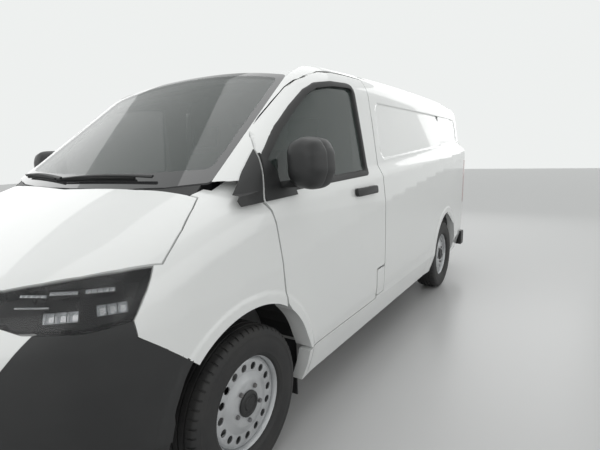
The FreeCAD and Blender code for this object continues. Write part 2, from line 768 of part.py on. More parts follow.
def lower_grille():
    """Slotted panel in the bumper's lower opening."""
    panel = nose_slab([315.0, 400.0, 495.0], 8.0, 66.0, 15, 26.0)
    panel = largest(panel.common(prism_y(grown(INTAKE, -SEAT), -2600, -2200)))
    for z in (352.0, 392.0, 432.0):
        panel = panel.cut(box(-350, 350, -2600, -2200, z, z + 18.0))
    return panel


def tail_slab_levels():
    return [REAR_SILL_Z, 760.0, 1050.0, 1330.0, 1600.0, 1870.0]


def rear_door_outline():
    """Rear door seen from behind, as (x, z): it follows the body side and the roof."""
    points = [(GAP / 2.0, REAR_SILL_Z)]
    for z in (REAR_SILL_Z, 1240.0, 1480.0, 1740.0):
        points.append((half_width(SIDE_END_Y, z) - DOOR_FLANGE, z))
    for x in (740.0, 400.0, GAP / 2.0):
        points.append((x, roof_top(x, SIDE_END_Y) - HEADER))
    return points


def rear_door():
    slab = tail_slab(GAP / 2.0, REAR_DOOR_X, tail_slab_levels(), REAR_DOOR_WALL)
    door = slab.common(prism_y(rear_door_outline(), 2200, 2600))
    pressing = tail_slab(GAP / 2.0, REAR_DOOR_X, tail_slab_levels(), 10.0, -4.0)
    window = [(90, 1260), (760, 1260), (720, 1640), (90, 1680)]
    panel = [(90, 620), (800, 620), (800, 1130), (90, 1130)]
    for points in (window, panel):
        door = door.cut(pressing.common(prism_y(points, 2200, 2600, 40.0)))
    for z in HINGE_LEVELS:
        door = door.fuse(prism_z([(840, 2420), (922, 2484), (938, 2484), (938, 2504), (915, 2504), (840, 2462)],
                                 z, z + 30.0))
    return door


def rear_bumper():
    sections = []
    for x in span(-985, 985, 13):
        y = TAIL_Y - 60.0 * (abs(x) / 985.0) ** 6
        outer = [Vector(x, y - 12, 300), Vector(x, y, 340), Vector(x, y, 440), Vector(x, y - 12, 456)]
        sections.append((outer, [p - Vector(0, 110, 0) for p in outer]))
    return ribbed_loft(sections)


def door_depth(z):
    """The door is a full box below the glass, and a slim frame round it."""
    return DOOR_WALL - (DOOR_WALL - FRAME_WALL) * min(max((z - 1300.0) / 380.0, 0.0), 1.0)


def front_door():
    slab = door_slab(DOOR_STATIONS, door_depth)
    door = slab.common(prism_x(DOOR_OUTLINE, DOOR_IN, SIDE_OUT, 14.0))
    door = door.cut(arch_cut(FRONT_AXLE_Y, ARCH_RADIUS, SIDE_IN, SIDE_OUT))
    door = door.cut(prism_x(GLASS_OUTLINE, DOOR_IN, SIDE_OUT, 28.0))
    door = door.cut(box(0, FRAME_X, -1500, 0, 1400, 2100))
    return largest(door)


def glass_depth(z):
    return GLASS


def door_glass():
    slab = door_slab(DOOR_STATIONS, glass_depth, GLASS_INSET)
    return slab.common(prism_x(grown(GLASS_OUTLINE, -SEAT), DOOR_IN, SIDE_OUT, 28.0))


def pillar_trim():
    """Black cover in the corner between wing, windscreen pillar and door."""
    slab = door_slab([-1560, -1480, -1400, -1300], trim_depth, -4.0)
    return slab.common(prism_x(TRIM_OUTLINE, DOOR_IN, SIDE_OUT))


def trim_depth(z):
    return 4.0 - SEAT


# Cabin and load space
FLOOR_TOP_Z = 560.0
FLOOR_WALL = 36.0
CAB_FLOOR_Z = 470.0
BULKHEAD_STEP = 1.5
BULKHEAD_Y = -60.0


def load_floor():
    floor = box(-960, 960, BULKHEAD_Y - 20, 2345, FLOOR_TOP_Z - FLOOR_WALL, FLOOR_TOP_Z)
    cab = box(-904, 904, -1076, BULKHEAD_Y - 20, CAB_FLOOR_Z - 24, CAB_FLOOR_Z)
    front = box(-540, 540, -1180, -1076, CAB_FLOOR_Z - 24, CAB_FLOOR_Z)
    riser = box(-880, 880, BULKHEAD_Y - 44, BULKHEAD_Y - 20, CAB_FLOOR_Z - 24, FLOOR_TOP_Z)
    foot = prism_x([(-1180, 446), (-1180, 470), (-1422, 640), (-1432, 640), (-1432, 624)], -540, 540)
    whole = floor.fuse([cab, front, riser, foot])
    for side in (1, -1):
        shell = box(*sorted((side * 676, side * (SIDE_HALF - 54.0))), 1126, 2024, FLOOR_TOP_Z - FLOOR_WALL, 824)
        whole = whole.fuse(shell)
        whole = whole.cut(box(*sorted((side * 700, side * (SIDE_HALF - 14.0))), 1150, 2000, 400, 800))
    return whole.cut(box(-960, 960, BULKHEAD_Y - 20, BULKHEAD_Y + 13, FLOOR_TOP_Z - BULKHEAD_STEP, FLOOR_TOP_Z))


def chassis_rails():
    """Two long members under the floor, joined by crossmembers."""
    pieces = []
    low_top = CAB_FLOOR_Z - 24.0
    high_top = FLOOR_TOP_Z - FLOOR_WALL
    for side in (1, -1):
        pieces.append(box(*sorted((side * 420, side * 500)), -2250, -60, 386, low_top))
        pieces.append(box(*sorted((side * 420, side * 500)), -60, 2330, 420, high_top))
    for y in (-2250, -1900, -1150, -300):
        pieces.append(box(-500, 500, y, y + 70, 386, low_top))
    for y in (700, 1280, 1970, 2260):
        pieces.append(box(-500, 500, y, y + 80, 420, high_top))
    return pieces[0].fuse(pieces[1:])


def bulkhead():
    """Full height wall behind the seats."""
    points = [(-54, FLOOR_TOP_Z - BULKHEAD_STEP), (-29, 1000), (-29, 1200), (-84, 1500), (-124, 1780), (-234, 1900)]
    points = [(SIDE_HALF + x, z) for x, z in points] + [(0, 1950)]
    full = points + [(-x, z) for x, z in points[:-1]][::-1]
    return prism_y(full, BULKHEAD_Y - 12, BULKHEAD_Y + 12)


def dashboard():
    profile = [(-1432 + SEAT, 1010), (-1432 + SEAT, 1190), (-1380, 1212), (-1230, 1190), (-1150, 1120), (-1170, 1000),
               (-1260, 960), (-1290, 860), (-1330, 860), (-1350, 980)]
    board = prism_x(profile, -790, 790)
    console = prism_x([(-1330, 700), (-1330, 1000), (-1180, 980), (-1230, 700)], -160, 160)
    return board.fuse(console)


def seat(x0, x1):
    """Base, cushion, back and headrests of one seat, all as drawn from the side."""
    base = box(x0 + 40, x1 - 40, -820, -420, CAB_FLOOR_Z, 775)
    cushion = prism_x([(-880, 800), (-870, 895), (-400, 870), (-360, 760), (-850, 760)], x0, x1)
    back = prism_x([(-420, 840), (-300, 830), (-150, 1440), (-180, 1480), (-240, 1470), (-420, 960)],
                   x0 + 10, x1 - 10)
    pieces = [cushion, back]
    places = max(1, int((x1 - x0) / 400.0))
    for i in range(places):
        middle = x0 + (x1 - x0) * (i + 0.5) / places
        pieces.append(prism_x([(-205, 1470), (-165, 1490), (-130, 1640), (-160, 1670), (-215, 1660), (-250, 1520)],
                              middle - 120, middle + 120))
    return base.fuse(pieces)


def driver_seat():
    return seat(160, 680)


def passenger_bench():
    return seat(-760, 90)


def engine():
    return box(-330, 330, -2130, -1560, CAB_FLOOR_Z - 24.0 + SEAT, 960)


def fuel_tank():
    top = FLOOR_TOP_Z - FLOOR_WALL - SEAT
    return prism_y([(520, 290), (860, 290), (860, top), (520, top)], -30, 700, 40.0)


def exhaust():
    """Pipe, silencer and its two hangers."""
    pipe = bar(26, (-300, -1500, 310), (-300, 1250, 310))
    pieces = [bar(80, (-300, 200, 310), (-300, 840, 310))]
    for y in (-265, 735):
        top = 386.0 if y < 0 else 420.0
        pieces.append(box(-308, -292, y, y + 12, 310, top - SEAT))
    return pipe.fuse(pieces)


def spare_wheel():
    """Wheel carried flat under the tail, on its centre bolt."""
    tyre = bar(320, (0, 2010, 170), (0, 2010, 370), 24)
    dish = bar(150, (0, 2010, 160), (0, 2010, 240), 24)
    return tyre.cut(dish).fuse(bar(30, (0, 2010, 230), (0, 2010, 420 - SEAT)))


# Suspension and wheels
def suspension_side():
    """Arms, ball joint eyes and coil leg of one front wheel."""
    pieces = []
    for z, reach in ((KINGPIN_LOW_Z, 320.0), (KINGPIN_HIGH_Z, 220.0)):
        inner_x = KINGPIN_X - reach
        plate = prism_z([(inner_x, FRONT_AXLE_Y - 120), (KINGPIN_X, FRONT_AXLE_Y - 22),
                         (KINGPIN_X, FRONT_AXLE_Y + 22), (inner_x, FRONT_AXLE_Y + 120)], z - 11, z + 11)
        eye = bar(30, (KINGPIN_X, FRONT_AXLE_Y, z - 11), (KINGPIN_X, FRONT_AXLE_Y, z + 11))
        pieces.append(plate.fuse(eye))
    spring = bar(62, (600, FRONT_AXLE_Y, 560), (600, FRONT_AXLE_Y, 800))
    tower = box(430, 680, FRONT_AXLE_Y - 90, FRONT_AXLE_Y + 70, 800, 824)
    post = box(430, 454, FRONT_AXLE_Y - 90, FRONT_AXLE_Y + 70, CAB_FLOOR_Z - 24.0 + SEAT, 824)
    leg = bar(26, (600, FRONT_AXLE_Y, KINGPIN_LOW_Z), (600, FRONT_AXLE_Y, 800))
    whole = pieces[0].fuse([pieces[1], leg, spring, tower, post])
    pin = rod(KINGPIN_RADIUS + FIT, (KINGPIN_X, FRONT_AXLE_Y, 200), (KINGPIN_X, FRONT_AXLE_Y, 480))
    return whole.cut(pin)


def front_suspension():
    side = suspension_side()
    beam = box(-480, 480, FRONT_AXLE_Y - 130, FRONT_AXLE_Y + 130, 225, 275)
    hangers = [box(*sorted((s * 430, s * 480)), FRONT_AXLE_Y - 60, FRONT_AXLE_Y + 60, 275, 386 - SEAT)
               for s in (1, -1)]
    return side.fuse([mirrored(side), beam] + hangers)


def knuckle():
    pin = rod(KINGPIN_RADIUS, (KINGPIN_X, FRONT_AXLE_Y, KINGPIN_LOW_Z - 18),
              (KINGPIN_X, FRONT_AXLE_Y, KINGPIN_HIGH_Z + 18))
    post = box(KINGPIN_X - 24, KINGPIN_X + 24, FRONT_AXLE_Y - 26, FRONT_AXLE_Y + 26,
               KINGPIN_LOW_Z + 12, KINGPIN_HIGH_Z - 12)
    spindle = rod(HUB_BORE, (KINGPIN_X, FRONT_AXLE_Y, WHEEL_Z), (WHEEL_X + 40, FRONT_AXLE_Y, WHEEL_Z))
    arm = box(KINGPIN_X - 20, KINGPIN_X + 4, FRONT_AXLE_Y, FRONT_AXLE_Y + 120, WHEEL_Z - 40, WHEEL_Z - 18)
    return pin.fuse([post, spindle, arm])


def wheel_profile(points, y, sides):
    """Ring about the wheel's axle from (x, radius) points, in flat strips round it."""
    rings = []
    for i in range(sides):
        turn = 2.0 * math.pi * i / sides
        ring = [Vector(WHEEL_X + x, y + r * math.sin(turn), WHEEL_Z - r * math.cos(turn)) for x, r in points]
        rings.append(ring)
    return strips(rings, True)


def tyre(y):
    half = TYRE_WIDTH / 2.0
    bead = RIM_RADIUS + RIM_LIP + SEAT
    foot = RIM_RADIUS + BUTT
    points = [(-72, foot), (-half + 24, bead + 1), (-half, bead + 50), (-half + 8, TYRE_RADIUS - 20),
              (-half + 30, TYRE_RADIUS), (half - 30, TYRE_RADIUS), (half - 8, TYRE_RADIUS - 20), (half, bead + 50),
              (half - 24, bead + 1), (72, foot)]
    return wheel_profile(points, y, TYRE_SIDES)


def rim(y):
    half = RIM_WIDTH / 2.0
    lip = RIM_RADIUS + RIM_LIP
    bore = HUB_BORE + FIT
    hub = bar(HUB_RADIUS, (WHEEL_X - 24, y, WHEEL_Z), (WHEEL_X + half - 12, y, WHEEL_Z), 16)
    disc = half - 26.0
    profile = [(-half, lip), (-half + 12, RIM_RADIUS), (half - 12, RIM_RADIUS), (half, lip),
               (half - 28, RIM_RADIUS - 14), (disc, RIM_RADIUS - 26), (disc, 134), (half - 12, CAP_RADIUS),
               (half - 12, HUB_RADIUS - 4), (-24, HUB_RADIUS - 4), (-24, HUB_RADIUS + 20), (disc - 16, CAP_RADIUS),
               (disc - 12, 134), (disc - 12, RIM_RADIUS - 14), (-half, RIM_RADIUS - 10)]
    whole = wheel_profile(profile, y, RIM_SIDES).fuse(hub)
    drills = [rod(bore, (WHEEL_X - 60, y, WHEEL_Z), (WHEEL_X + 100, y, WHEEL_Z))]
    for i in range(HOLE_COUNT):
        angle = 2.0 * math.pi * i / HOLE_COUNT
        cy = y + HOLE_RING * math.cos(angle)
        cz = WHEEL_Z + HOLE_RING * math.sin(angle)
        corners = []
        for k in range(HOLE_SIDES):
            turn = 2.0 * math.pi * (k + 0.5) / HOLE_SIDES
            corners.append((cy + HOLE_RADIUS * math.cos(turn), cz + HOLE_RADIUS * math.sin(turn)))
        drills.append(prism_x(corners, WHEEL_X + 20, WHEEL_X + 90))
    return whole.cut(drills).removeSplitter()


def rear_axle():
    tube = bar(36, (-HUB_LIMIT, REAR_AXLE_Y, WHEEL_Z), (HUB_LIMIT, REAR_AXLE_Y, WHEEL_Z))
    pieces = []
    for side in (1, -1):
        pieces.append(rod(HUB_BORE, (side * 700, REAR_AXLE_Y, WHEEL_Z), (side * (WHEEL_X + 40), REAR_AXLE_Y, WHEEL_Z)))
        pieces.append(bar(28, (side * 560, REAR_AXLE_Y, WHEEL_Z), (side * 560, 900, 360)))
        pieces.append(box(*sorted((side * 500, side * 600)), 860, 940, 330, 446))
        pieces.append(bar(58, (side * 560, REAR_AXLE_Y, WHEEL_Z), (side * 560, REAR_AXLE_Y, FLOOR_TOP_Z - FLOOR_WALL)))
    return tube.fuse(pieces)


HUB_LIMIT = 770.0


def steering_column():
    axis = Vector(0, math.sin(COLUMN_TILT * DEG), math.cos(COLUMN_TILT * DEG))
    top = Vector(*COLUMN_TOP)
    low = top - axis * 260.0
    return bar(24, tuple(low), tuple(top)).fuse(bar(50, tuple(low), tuple(top - axis * 90.0)))


STEER_X = 420.0
STEER_RADIUS = 188.0
COLUMN_TILT = 54.5
COLUMN_TOP = (STEER_X, -1105.0, 1062.0)


def steering_wheel():
    """Rim, hub and spokes, square to the column."""
    rings = []
    for i in range(24):
        turn = 2.0 * math.pi * i / 24
        out = Vector(math.cos(turn), math.sin(turn), 0)
        rings.append([out * (STEER_RADIUS + 15 * math.cos(a * DEG)) + Vector(0, 0, 15 * math.sin(a * DEG))
                      for a in range(0, 360, 60)])
    rim_ring = strips(rings, True)
    hub = bar(58, (0, 0, -17), (0, 0, 17), 16)
    spokes = Part.makeBox(360, 34, 14, Vector(-180, -17, -7))
    lower = Part.makeBox(34, 180, 14, Vector(-17, -180, -7))
    wheel = rim_ring.fuse([hub, spokes, lower])
    wheel.rotate(Vector(0, 0, 0), Vector(1, 0, 0), -COLUMN_TILT)
    axis = Vector(0, math.sin(COLUMN_TILT * DEG), math.cos(COLUMN_TILT * DEG))
    wheel.translate(Vector(*COLUMN_TOP) + axis * (17.0 + SEAT))
    return wheel


# Mirrors, lamps and trim
MIRROR_X = SIDE_HALF + 168.0


def mirror():
    """Housing, arm and the sail that seats it on the door."""
    face = [(MIRROR_X - 170, 1300), (MIRROR_X - 172, 1440), (MIRROR_X - 150, 1468), (MIRROR_X - 90, 1486),
            (MIRROR_X - 30, 1470), (MIRROR_X, 1420), (MIRROR_X + 5, 1335), (MIRROR_X - 20, 1272), (MIRROR_X - 60, 1252),
            (MIRROR_X - 130, 1262)]
    rings = []
    for y, scale in ((-1292, 0.62), (-1270, 0.88), (-1232, 1.0), (-1130, 1.0)):
        rings.append([Vector(MIRROR_X - 85 + (x - MIRROR_X + 85) * scale, y, 1375 + (z - 1375) * scale)
                      for x, z in face])
    housing = strips(rings, False)
    arm = prism_y([(half_width(-1200, 1280) + 6.0, 1262), (MIRROR_X - 120, 1266), (MIRROR_X - 120, 1302),
                   (half_width(-1200, 1280) + 6.0, 1290)], -1256, -1180)
    sail = door_slab([-1395, -1330, -1230, -1120], sail_depth, -8.3).common(prism_x(SAIL_OUTLINE, DOOR_IN, SIDE_OUT))
    return housing.fuse([arm, sail])


def sail_depth(z):
    return 8.0


def door_handle():
    slab = side_slab([-560, -250], 1140.0, 1210.0, 22.0, -26.0)
    bar = slab.common(prism_x([(-550, 1152), (-550, 1200), (-262, 1200), (-262, 1152)], SIDE_IN, SIDE_OUT, 16.0))
    posts = side_slab([-560, -250], 1140.0, 1210.0, 4.0, -4.3)
    posts = posts.common(prism_x([(-345, 1160), (-345, 1192), (-270, 1192), (-270, 1160)], SIDE_IN, SIDE_OUT))
    return bar.cut(side_slab([-520, -360], 1100.0, 1250.0, 20.0, -16.0)).fuse(posts)


def tail_lamp():
    slab = side_slab([2380, 2475], 760.0, 1330.0, DOOR_FLANGE - GAP - 2.0, -1.0)
    return slab.common(prism_x(LAMP_TAIL, SIDE_IN, SIDE_OUT))


def mudflap(y, reach, top):
    return box(700, reach, y, y + 8, 130, top - SEAT)


def wiper(x):
    return rod(6, (x, -1560, 1262), (x - 330, -1500, 1320))


def arch_liner():
    ring = bar(ARCH_RADIUS + 24, (702, FRONT_AXLE_Y, ARCH_Z), (900, FRONT_AXLE_Y, ARCH_Z), 36)
    ring = ring.cut(bar(ARCH_RADIUS + 16, (500, FRONT_AXLE_Y, ARCH_Z), (1000, FRONT_AXLE_Y, ARCH_Z), 36))
    ring = ring.cut(box(400, 1100, -2200, -800, -200, CAB_FLOOR_Z + 1.0))
    return ring.cut(box(400, 1100, -2200, -1700, -200, 640))


def build():
    parts = {}
    parts["side_panel_left"] = left_side_panel()
    parts["side_panel_right"] = right_side_panel()
    parts["sliding_door_right"] = sliding_door()
    parts["roof"] = roof()
    parts["wing_left"] = wing()
    parts["windscreen"] = windscreen()
    parts["cowl"] = cowl().cut([parts["wing_left"], mirrored(parts["wing_left"])])
    parts["bonnet"] = bonnet()
    centre, corner = bumper()
    parts["front_bumper"] = centre
    parts["bumper_corners"] = Part.makeCompound([corner, mirrored(corner)])
    parts["grille"] = grille()
    parts["lower_grille"] = lower_grille()
    lamp, lens = headlamps()
    lamp = largest(lamp.cut(parts["wing_left"]))
    lens = largest(lens.cut(parts["wing_left"]))
    parts["headlamps"] = Part.makeCompound([lamp, mirrored(lamp)])
    parts["headlamp_lenses"] = Part.makeCompound([lens, mirrored(lens)])
    parts["rear_bumper"] = rear_bumper()
    parts["rear_door_left"] = rear_door()
    parts["front_door_left"] = front_door()
    parts["door_glass_left"] = door_glass()
    parts["filler_flap"] = filler_flap()
    sides = [parts["side_panel_left"], parts["side_panel_right"], parts["sliding_door_right"]]
    parts["roof"] = largest(parts["roof"].cut(sides[:2]))
    parts["floor"] = largest(load_floor().cut(sides))
    parts["chassis_rails"] = chassis_rails()
    parts["bulkhead"] = largest(bulkhead().cut(sides + [parts["roof"]]))
    parts["firewall"] = firewall()
    parts["steering_column"] = steering_column()
    parts["dashboard"] = dashboard().cut(parts["steering_column"])
    parts["driver_seat"] = driver_seat()
    parts["passenger_bench"] = passenger_bench()
    parts["engine"] = engine()
    parts["fuel_tank"] = fuel_tank()
    parts["exhaust"] = exhaust()
    parts["spare_wheel"] = spare_wheel()
    parts["front_suspension"] = front_suspension()
    parts["rear_axle"] = rear_axle()
    parts["knuckle_left"] = knuckle()
    parts["steering_wheel"] = steering_wheel()
    parts["mirror_left"] = mirror()
    parts["door_handle_left"] = door_handle()
    lamp = tail_lamp()
    parts["tail_lamps"] = Part.makeCompound([lamp, mirrored(lamp)])
    flaps = [mudflap(-1066, 895, CAB_FLOOR_Z - 24.0), mudflap(2032, 870, FLOOR_TOP_Z - FLOOR_WALL)]
    parts["mudflaps"] = Part.makeCompound(flaps + [mirrored(flap) for flap in flaps])
    liner = arch_liner()
    parts["arch_liners"] = Part.makeCompound([liner, mirrored(liner)])
    trim = largest(pillar_trim().cut([parts["side_panel_left"], parts["wing_left"]]))
    parts["pillar_trims"] = Part.makeCompound([trim, mirrored(trim)])
    post = hinge_pillar()
    parts["hinge_pillars"] = Part.makeCompound([post, mirrored(post)])
    for end, y in (("front", FRONT_AXLE_Y), ("rear", REAR_AXLE_Y)):
        parts["tyre_" + end + "_left"] = tyre(y)
        parts["rim_" + end + "_left"] = rim(y)
    for name in list(parts):
        if name.endswith("_left") and name != "side_panel_left":
            parts[name[:-5] + "_right"] = mirrored(parts[name])
    return parts


os.makedirs("parts", exist_ok=True)
for name, shape in build().items():
    shape.exportStep("parts/" + name + ".step")
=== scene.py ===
import json
import math

import bmesh
import bpy
import numpy as np
from mathutils import Matrix, Vector

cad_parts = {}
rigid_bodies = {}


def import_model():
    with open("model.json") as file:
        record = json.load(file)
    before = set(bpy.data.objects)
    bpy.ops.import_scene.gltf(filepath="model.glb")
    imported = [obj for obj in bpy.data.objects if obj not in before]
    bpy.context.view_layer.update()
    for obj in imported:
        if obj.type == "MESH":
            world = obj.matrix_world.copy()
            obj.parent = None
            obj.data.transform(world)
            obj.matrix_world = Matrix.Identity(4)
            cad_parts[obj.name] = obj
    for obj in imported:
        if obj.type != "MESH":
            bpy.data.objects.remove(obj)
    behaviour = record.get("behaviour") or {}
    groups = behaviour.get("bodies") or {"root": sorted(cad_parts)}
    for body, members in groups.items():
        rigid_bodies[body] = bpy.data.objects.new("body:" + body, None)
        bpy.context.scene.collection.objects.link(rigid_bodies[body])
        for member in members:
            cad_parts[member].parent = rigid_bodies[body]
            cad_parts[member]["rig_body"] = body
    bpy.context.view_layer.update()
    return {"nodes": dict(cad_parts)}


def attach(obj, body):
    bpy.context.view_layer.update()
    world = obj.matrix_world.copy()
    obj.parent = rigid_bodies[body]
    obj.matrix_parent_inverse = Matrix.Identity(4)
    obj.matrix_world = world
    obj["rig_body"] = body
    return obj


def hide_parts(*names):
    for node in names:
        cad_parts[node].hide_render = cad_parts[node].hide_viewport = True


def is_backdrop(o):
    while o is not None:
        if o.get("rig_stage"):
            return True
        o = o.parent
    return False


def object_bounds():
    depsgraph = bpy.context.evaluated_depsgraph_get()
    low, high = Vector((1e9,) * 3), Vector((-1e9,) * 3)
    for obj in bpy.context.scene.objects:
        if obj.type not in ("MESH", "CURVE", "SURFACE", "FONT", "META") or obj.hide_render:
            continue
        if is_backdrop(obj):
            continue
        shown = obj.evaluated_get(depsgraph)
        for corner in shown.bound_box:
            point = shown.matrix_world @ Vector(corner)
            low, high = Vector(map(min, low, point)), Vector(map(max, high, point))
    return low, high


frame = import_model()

nodes = frame["nodes"]

# Chassis and running gear
# Black painted steel members, arms and axle, dusty from the road, with a cast engine block, a blow
# moulded tank and a dull steel exhaust. They keep their worked shapes and only get their finish.


def shader_group(name, inputs, outputs):
    tree = bpy.data.node_groups.new(name, "ShaderNodeTree")
    for label, kind, value in inputs:
        socket = tree.interface.new_socket(label, in_out="INPUT", socket_type=kind)
        socket.default_value = value
    for label, kind in outputs:
        tree.interface.new_socket(label, in_out="OUTPUT", socket_type=kind)
    return tree, tree.nodes.new("NodeGroupInput"), tree.nodes.new("NodeGroupOutput")


def join(tree, source, target):
    tree.links.new(source, target)


def maths(tree, kind, a, b=None, c=None):
    node = tree.nodes.new("ShaderNodeMath")
    node.operation = kind
    for index, value in enumerate((a, b, c)):
        if value is None:
            continue
        if isinstance(value, (int, float)):
            node.inputs[index].default_value = value
        else:
            tree.links.new(value, node.inputs[index])
    return node.outputs[0]


def grime_group():
    """Fine speckle and slow patches: a mask for dust, and a height for the grain."""
    tree, entry, leave = shader_group(
        "dust_and_grain",
        [("Grain Size", "NodeSocketFloat", 400.0), ("Patch Size", "NodeSocketFloat", 3.0)],
        [("Dust", "NodeSocketFloat"), ("Grain", "NodeSocketFloat")])
    place = tree.nodes.new("ShaderNodeTexCoord")
    patch = tree.nodes.new("ShaderNodeTexNoise")
    patch.inputs["Detail"].default_value = 5.0
    join(tree, place.outputs["Object"], patch.inputs["Vector"])
    join(tree, entry.outputs["Patch Size"], patch.inputs["Scale"])
    grain = tree.nodes.new("ShaderNodeTexNoise")
    grain.inputs["Detail"].default_value = 2.0
    join(tree, place.outputs["Object"], grain.inputs["Vector"])
    join(tree, entry.outputs["Grain Size"], grain.inputs["Scale"])
    spread = tree.nodes.new("ShaderNodeMapRange")
    spread.inputs["From Min"].default_value = 0.42
    spread.inputs["From Max"].default_value = 0.72
    join(tree, patch.outputs["Fac"], spread.inputs["Value"])
    join(tree, spread.outputs["Result"], leave.inputs["Dust"])
    join(tree, grain.outputs["Fac"], leave.inputs["Grain"])
    return tree


dust_and_grain = grime_group()


def finish(name, colour, second, rough, metal=0.0, grain=400.0, patch=3.0, height=0.0001, coat=0.0,
           sheen=0.0, mix=1.0):
    """A finish with two close colours mottled together, grain in its height and varied roughness."""
    material = bpy.data.materials.new(name)
    material.use_nodes = True
    tree = material.node_tree
    shader = tree.nodes["Principled BSDF"]
    shader.inputs["Metallic"].default_value = metal
    shader.inputs["Coat Weight"].default_value = coat
    shader.inputs["Coat Roughness"].default_value = 0.04
    shader.inputs["Sheen Weight"].default_value = sheen
    group = tree.nodes.new("ShaderNodeGroup")
    group.node_tree = dust_and_grain
    group.inputs["Grain Size"].default_value = grain
    group.inputs["Patch Size"].default_value = patch
    blend = tree.nodes.new("ShaderNodeMix")
    blend.data_type = "RGBA"
    blend.inputs[6].default_value = (*colour, 1.0)
    blend.inputs[7].default_value = (*second, 1.0)
    join(tree, maths(tree, "MULTIPLY", group.outputs["Dust"], mix), blend.inputs[0])
    join(tree, blend.outputs[2], shader.inputs["Base Color"])
    vary = maths(tree, "MULTIPLY_ADD", group.outputs["Dust"], 0.12, rough)
    join(tree, vary, shader.inputs["Roughness"])
    bump = tree.nodes.new("ShaderNodeBump")
    bump.inputs["Strength"].default_value = 0.6
    bump.inputs["Distance"].default_value = height
    join(tree, group.outputs["Grain"], bump.inputs["Height"])
    join(tree, bump.outputs["Normal"], shader.inputs["Normal"])
    return material


def dress(material, *names):
    for name in names:
        mesh = nodes[name].data
        mesh.materials.clear()
        mesh.materials.append(material)


chassis_black = finish("chassis_black", (0.022, 0.022, 0.024), (0.075, 0.068, 0.06), 0.46, grain=260.0,
                       patch=6.0)
cast_iron = finish("cast_iron", (0.16, 0.16, 0.165), (0.07, 0.065, 0.06), 0.55, metal=0.7, grain=180.0,
                   height=0.0006)
tank_plastic = finish("tank_plastic", (0.03, 0.03, 0.032), (0.06, 0.056, 0.05), 0.5, grain=120.0)
pipe_steel = finish("pipe_steel", (0.42, 0.39, 0.36), (0.2, 0.14, 0.1), 0.36, metal=0.9, patch=9.0)
dress(chassis_black, "chassis_rails", "front_suspension", "rear_axle", "knuckle_left", "knuckle_right",
      "firewall", "hinge_pillars")
dress(cast_iron, "engine")
dress(tank_plastic, "fuel_tank")
dress(pipe_steel, "exhaust")

# Floor and bulkhead
# Pressed steel painted satin white inside, with scuffs from loads, as one floor with its wheel boxes
# and a full height wall behind the seats.

inner_paint = finish("inner_paint", (0.62, 0.63, 0.64), (0.5, 0.49, 0.47), 0.42, patch=5.0)
dress(inner_paint, "floor", "bulkhead")

# Side panels, roof and sliding door
# Pressed steel skins in gloss white with a wax shine. The copy of each panel is cut into small faces,
# laid on the body's curved form and pressed with the arch flares, window blanks, swages and roof ribs.

HALF_WIDTH = 1014.0
UPPER_HALF = 953.0
ROOF_LEVEL = 1977.4
SCREEN_SLOPE = math.radians(36.786)
BELT_STEP = 90.0
RAIL_BLEND = 130.0
FRONT_AXLE_Y = -1520.0
REAR_AXLE_Y = 1580.0
ARCH_LEVEL = 372.0
FRONT_ARCH = 420.0
REAR_ARCH = 415.0
BLANK_TOP = 1738.0
BLANK_CORNER = 70.0
PRESSED = 6.0
FLARE_RISE = 7.0
SWAGE_DEEP = 7.0
RIB_LINES = (-560.0, -280.0, 0.0, 280.0, 560.0)


def soft_max(a, b, soft):
    h = np.maximum(soft - np.abs(a - b), 0.0)
    return np.maximum(a, b) + h * h / (4.0 * soft)


def ease(t):
    t = np.clip(t, 0.0, 1.0)
    return t * t * (3.0 - 2.0 * t)


def belt_line(y):
    return 1336.0 + 0.061 * y


def side_form(p):
    """Millimetres outside the side of the body."""
    x, y, z = p
    shoulder = 1078.0 + 0.1117 * y
    belt = belt_line(y)
    low = HALF_WIDTH - 0.000024 * np.maximum(shoulder - z, 0.0) ** 2
    low = low - 0.10 * np.maximum(z - shoulder, 0.0) - 0.24 * np.maximum(430.0 - z, 0.0)
    above = np.maximum(z - 1336.0, 0.0)
    high = UPPER_HALF - 0.138 * (z - 1336.0) - 0.00002 * above ** 2
    t = np.clip((z - belt + BELT_STEP) / BELT_STEP, 0.0, 1.0)
    t = 0.35 * t + 0.65 * ease(t)
    front = np.maximum(-1300.0 - y, 0.0) / 700.0
    rear = np.maximum(y - 1200.0, 0.0) / 1300.0
    return np.abs(x) - (low + (high - low) * t - 55.0 * front ** 2 - 40.0 * rear ** 2)


def upper_form(p):
    """Millimetres above the roof and the screen, which run into each other."""
    x, y, z = p
    top = z - (ROOF_LEVEL - 0.000011 * (y - 850.0) ** 2 - 0.000000000125 * x ** 4)
    screen = (z - 1215.0) * math.cos(SCREEN_SLOPE) - (y + 1750.0 - 0.00015 * x * x) * math.sin(SCREEN_SLOPE)
    return soft_max(top, screen, 100.0)


def rail_body(p):
    """Side and roof together, rounded over the rail."""
    return soft_max(side_form(p), upper_form(p), RAIL_BLEND)


def flare(p, axle_y, radius):
    """Raised lip round a wheel arch."""
    x, y, z = p
    away = np.hypot(y - axle_y + 5.0, z - ARCH_LEVEL) - radius
    lip = FLARE_RISE * ease((away + 20.0) / 18.0) * (1.0 - ease((away - 34.0) / 26.0))
    return lip * ease((z - 250.0) / 120.0)


def blank(p, y0, y1):
    """Shallow pressing in the place of a side window."""
    x, y, z = p
    low = belt_line(y) + 24.0
    inside = np.minimum(np.minimum(y - y0, y1 - y), np.minimum(z - low, BLANK_TOP - z))
    corner_y = np.maximum(np.maximum(y0 + BLANK_CORNER - y, y - y1 + BLANK_CORNER), 0.0)
    corner_z = np.maximum(np.maximum(low + BLANK_CORNER - z, z - BLANK_TOP + BLANK_CORNER), 0.0)
    inside = np.where((corner_y > 0) & (corner_z > 0), BLANK_CORNER - np.hypot(corner_y, corner_z), inside)
    return -PRESSED * ease(inside / 16.0 + 0.5)


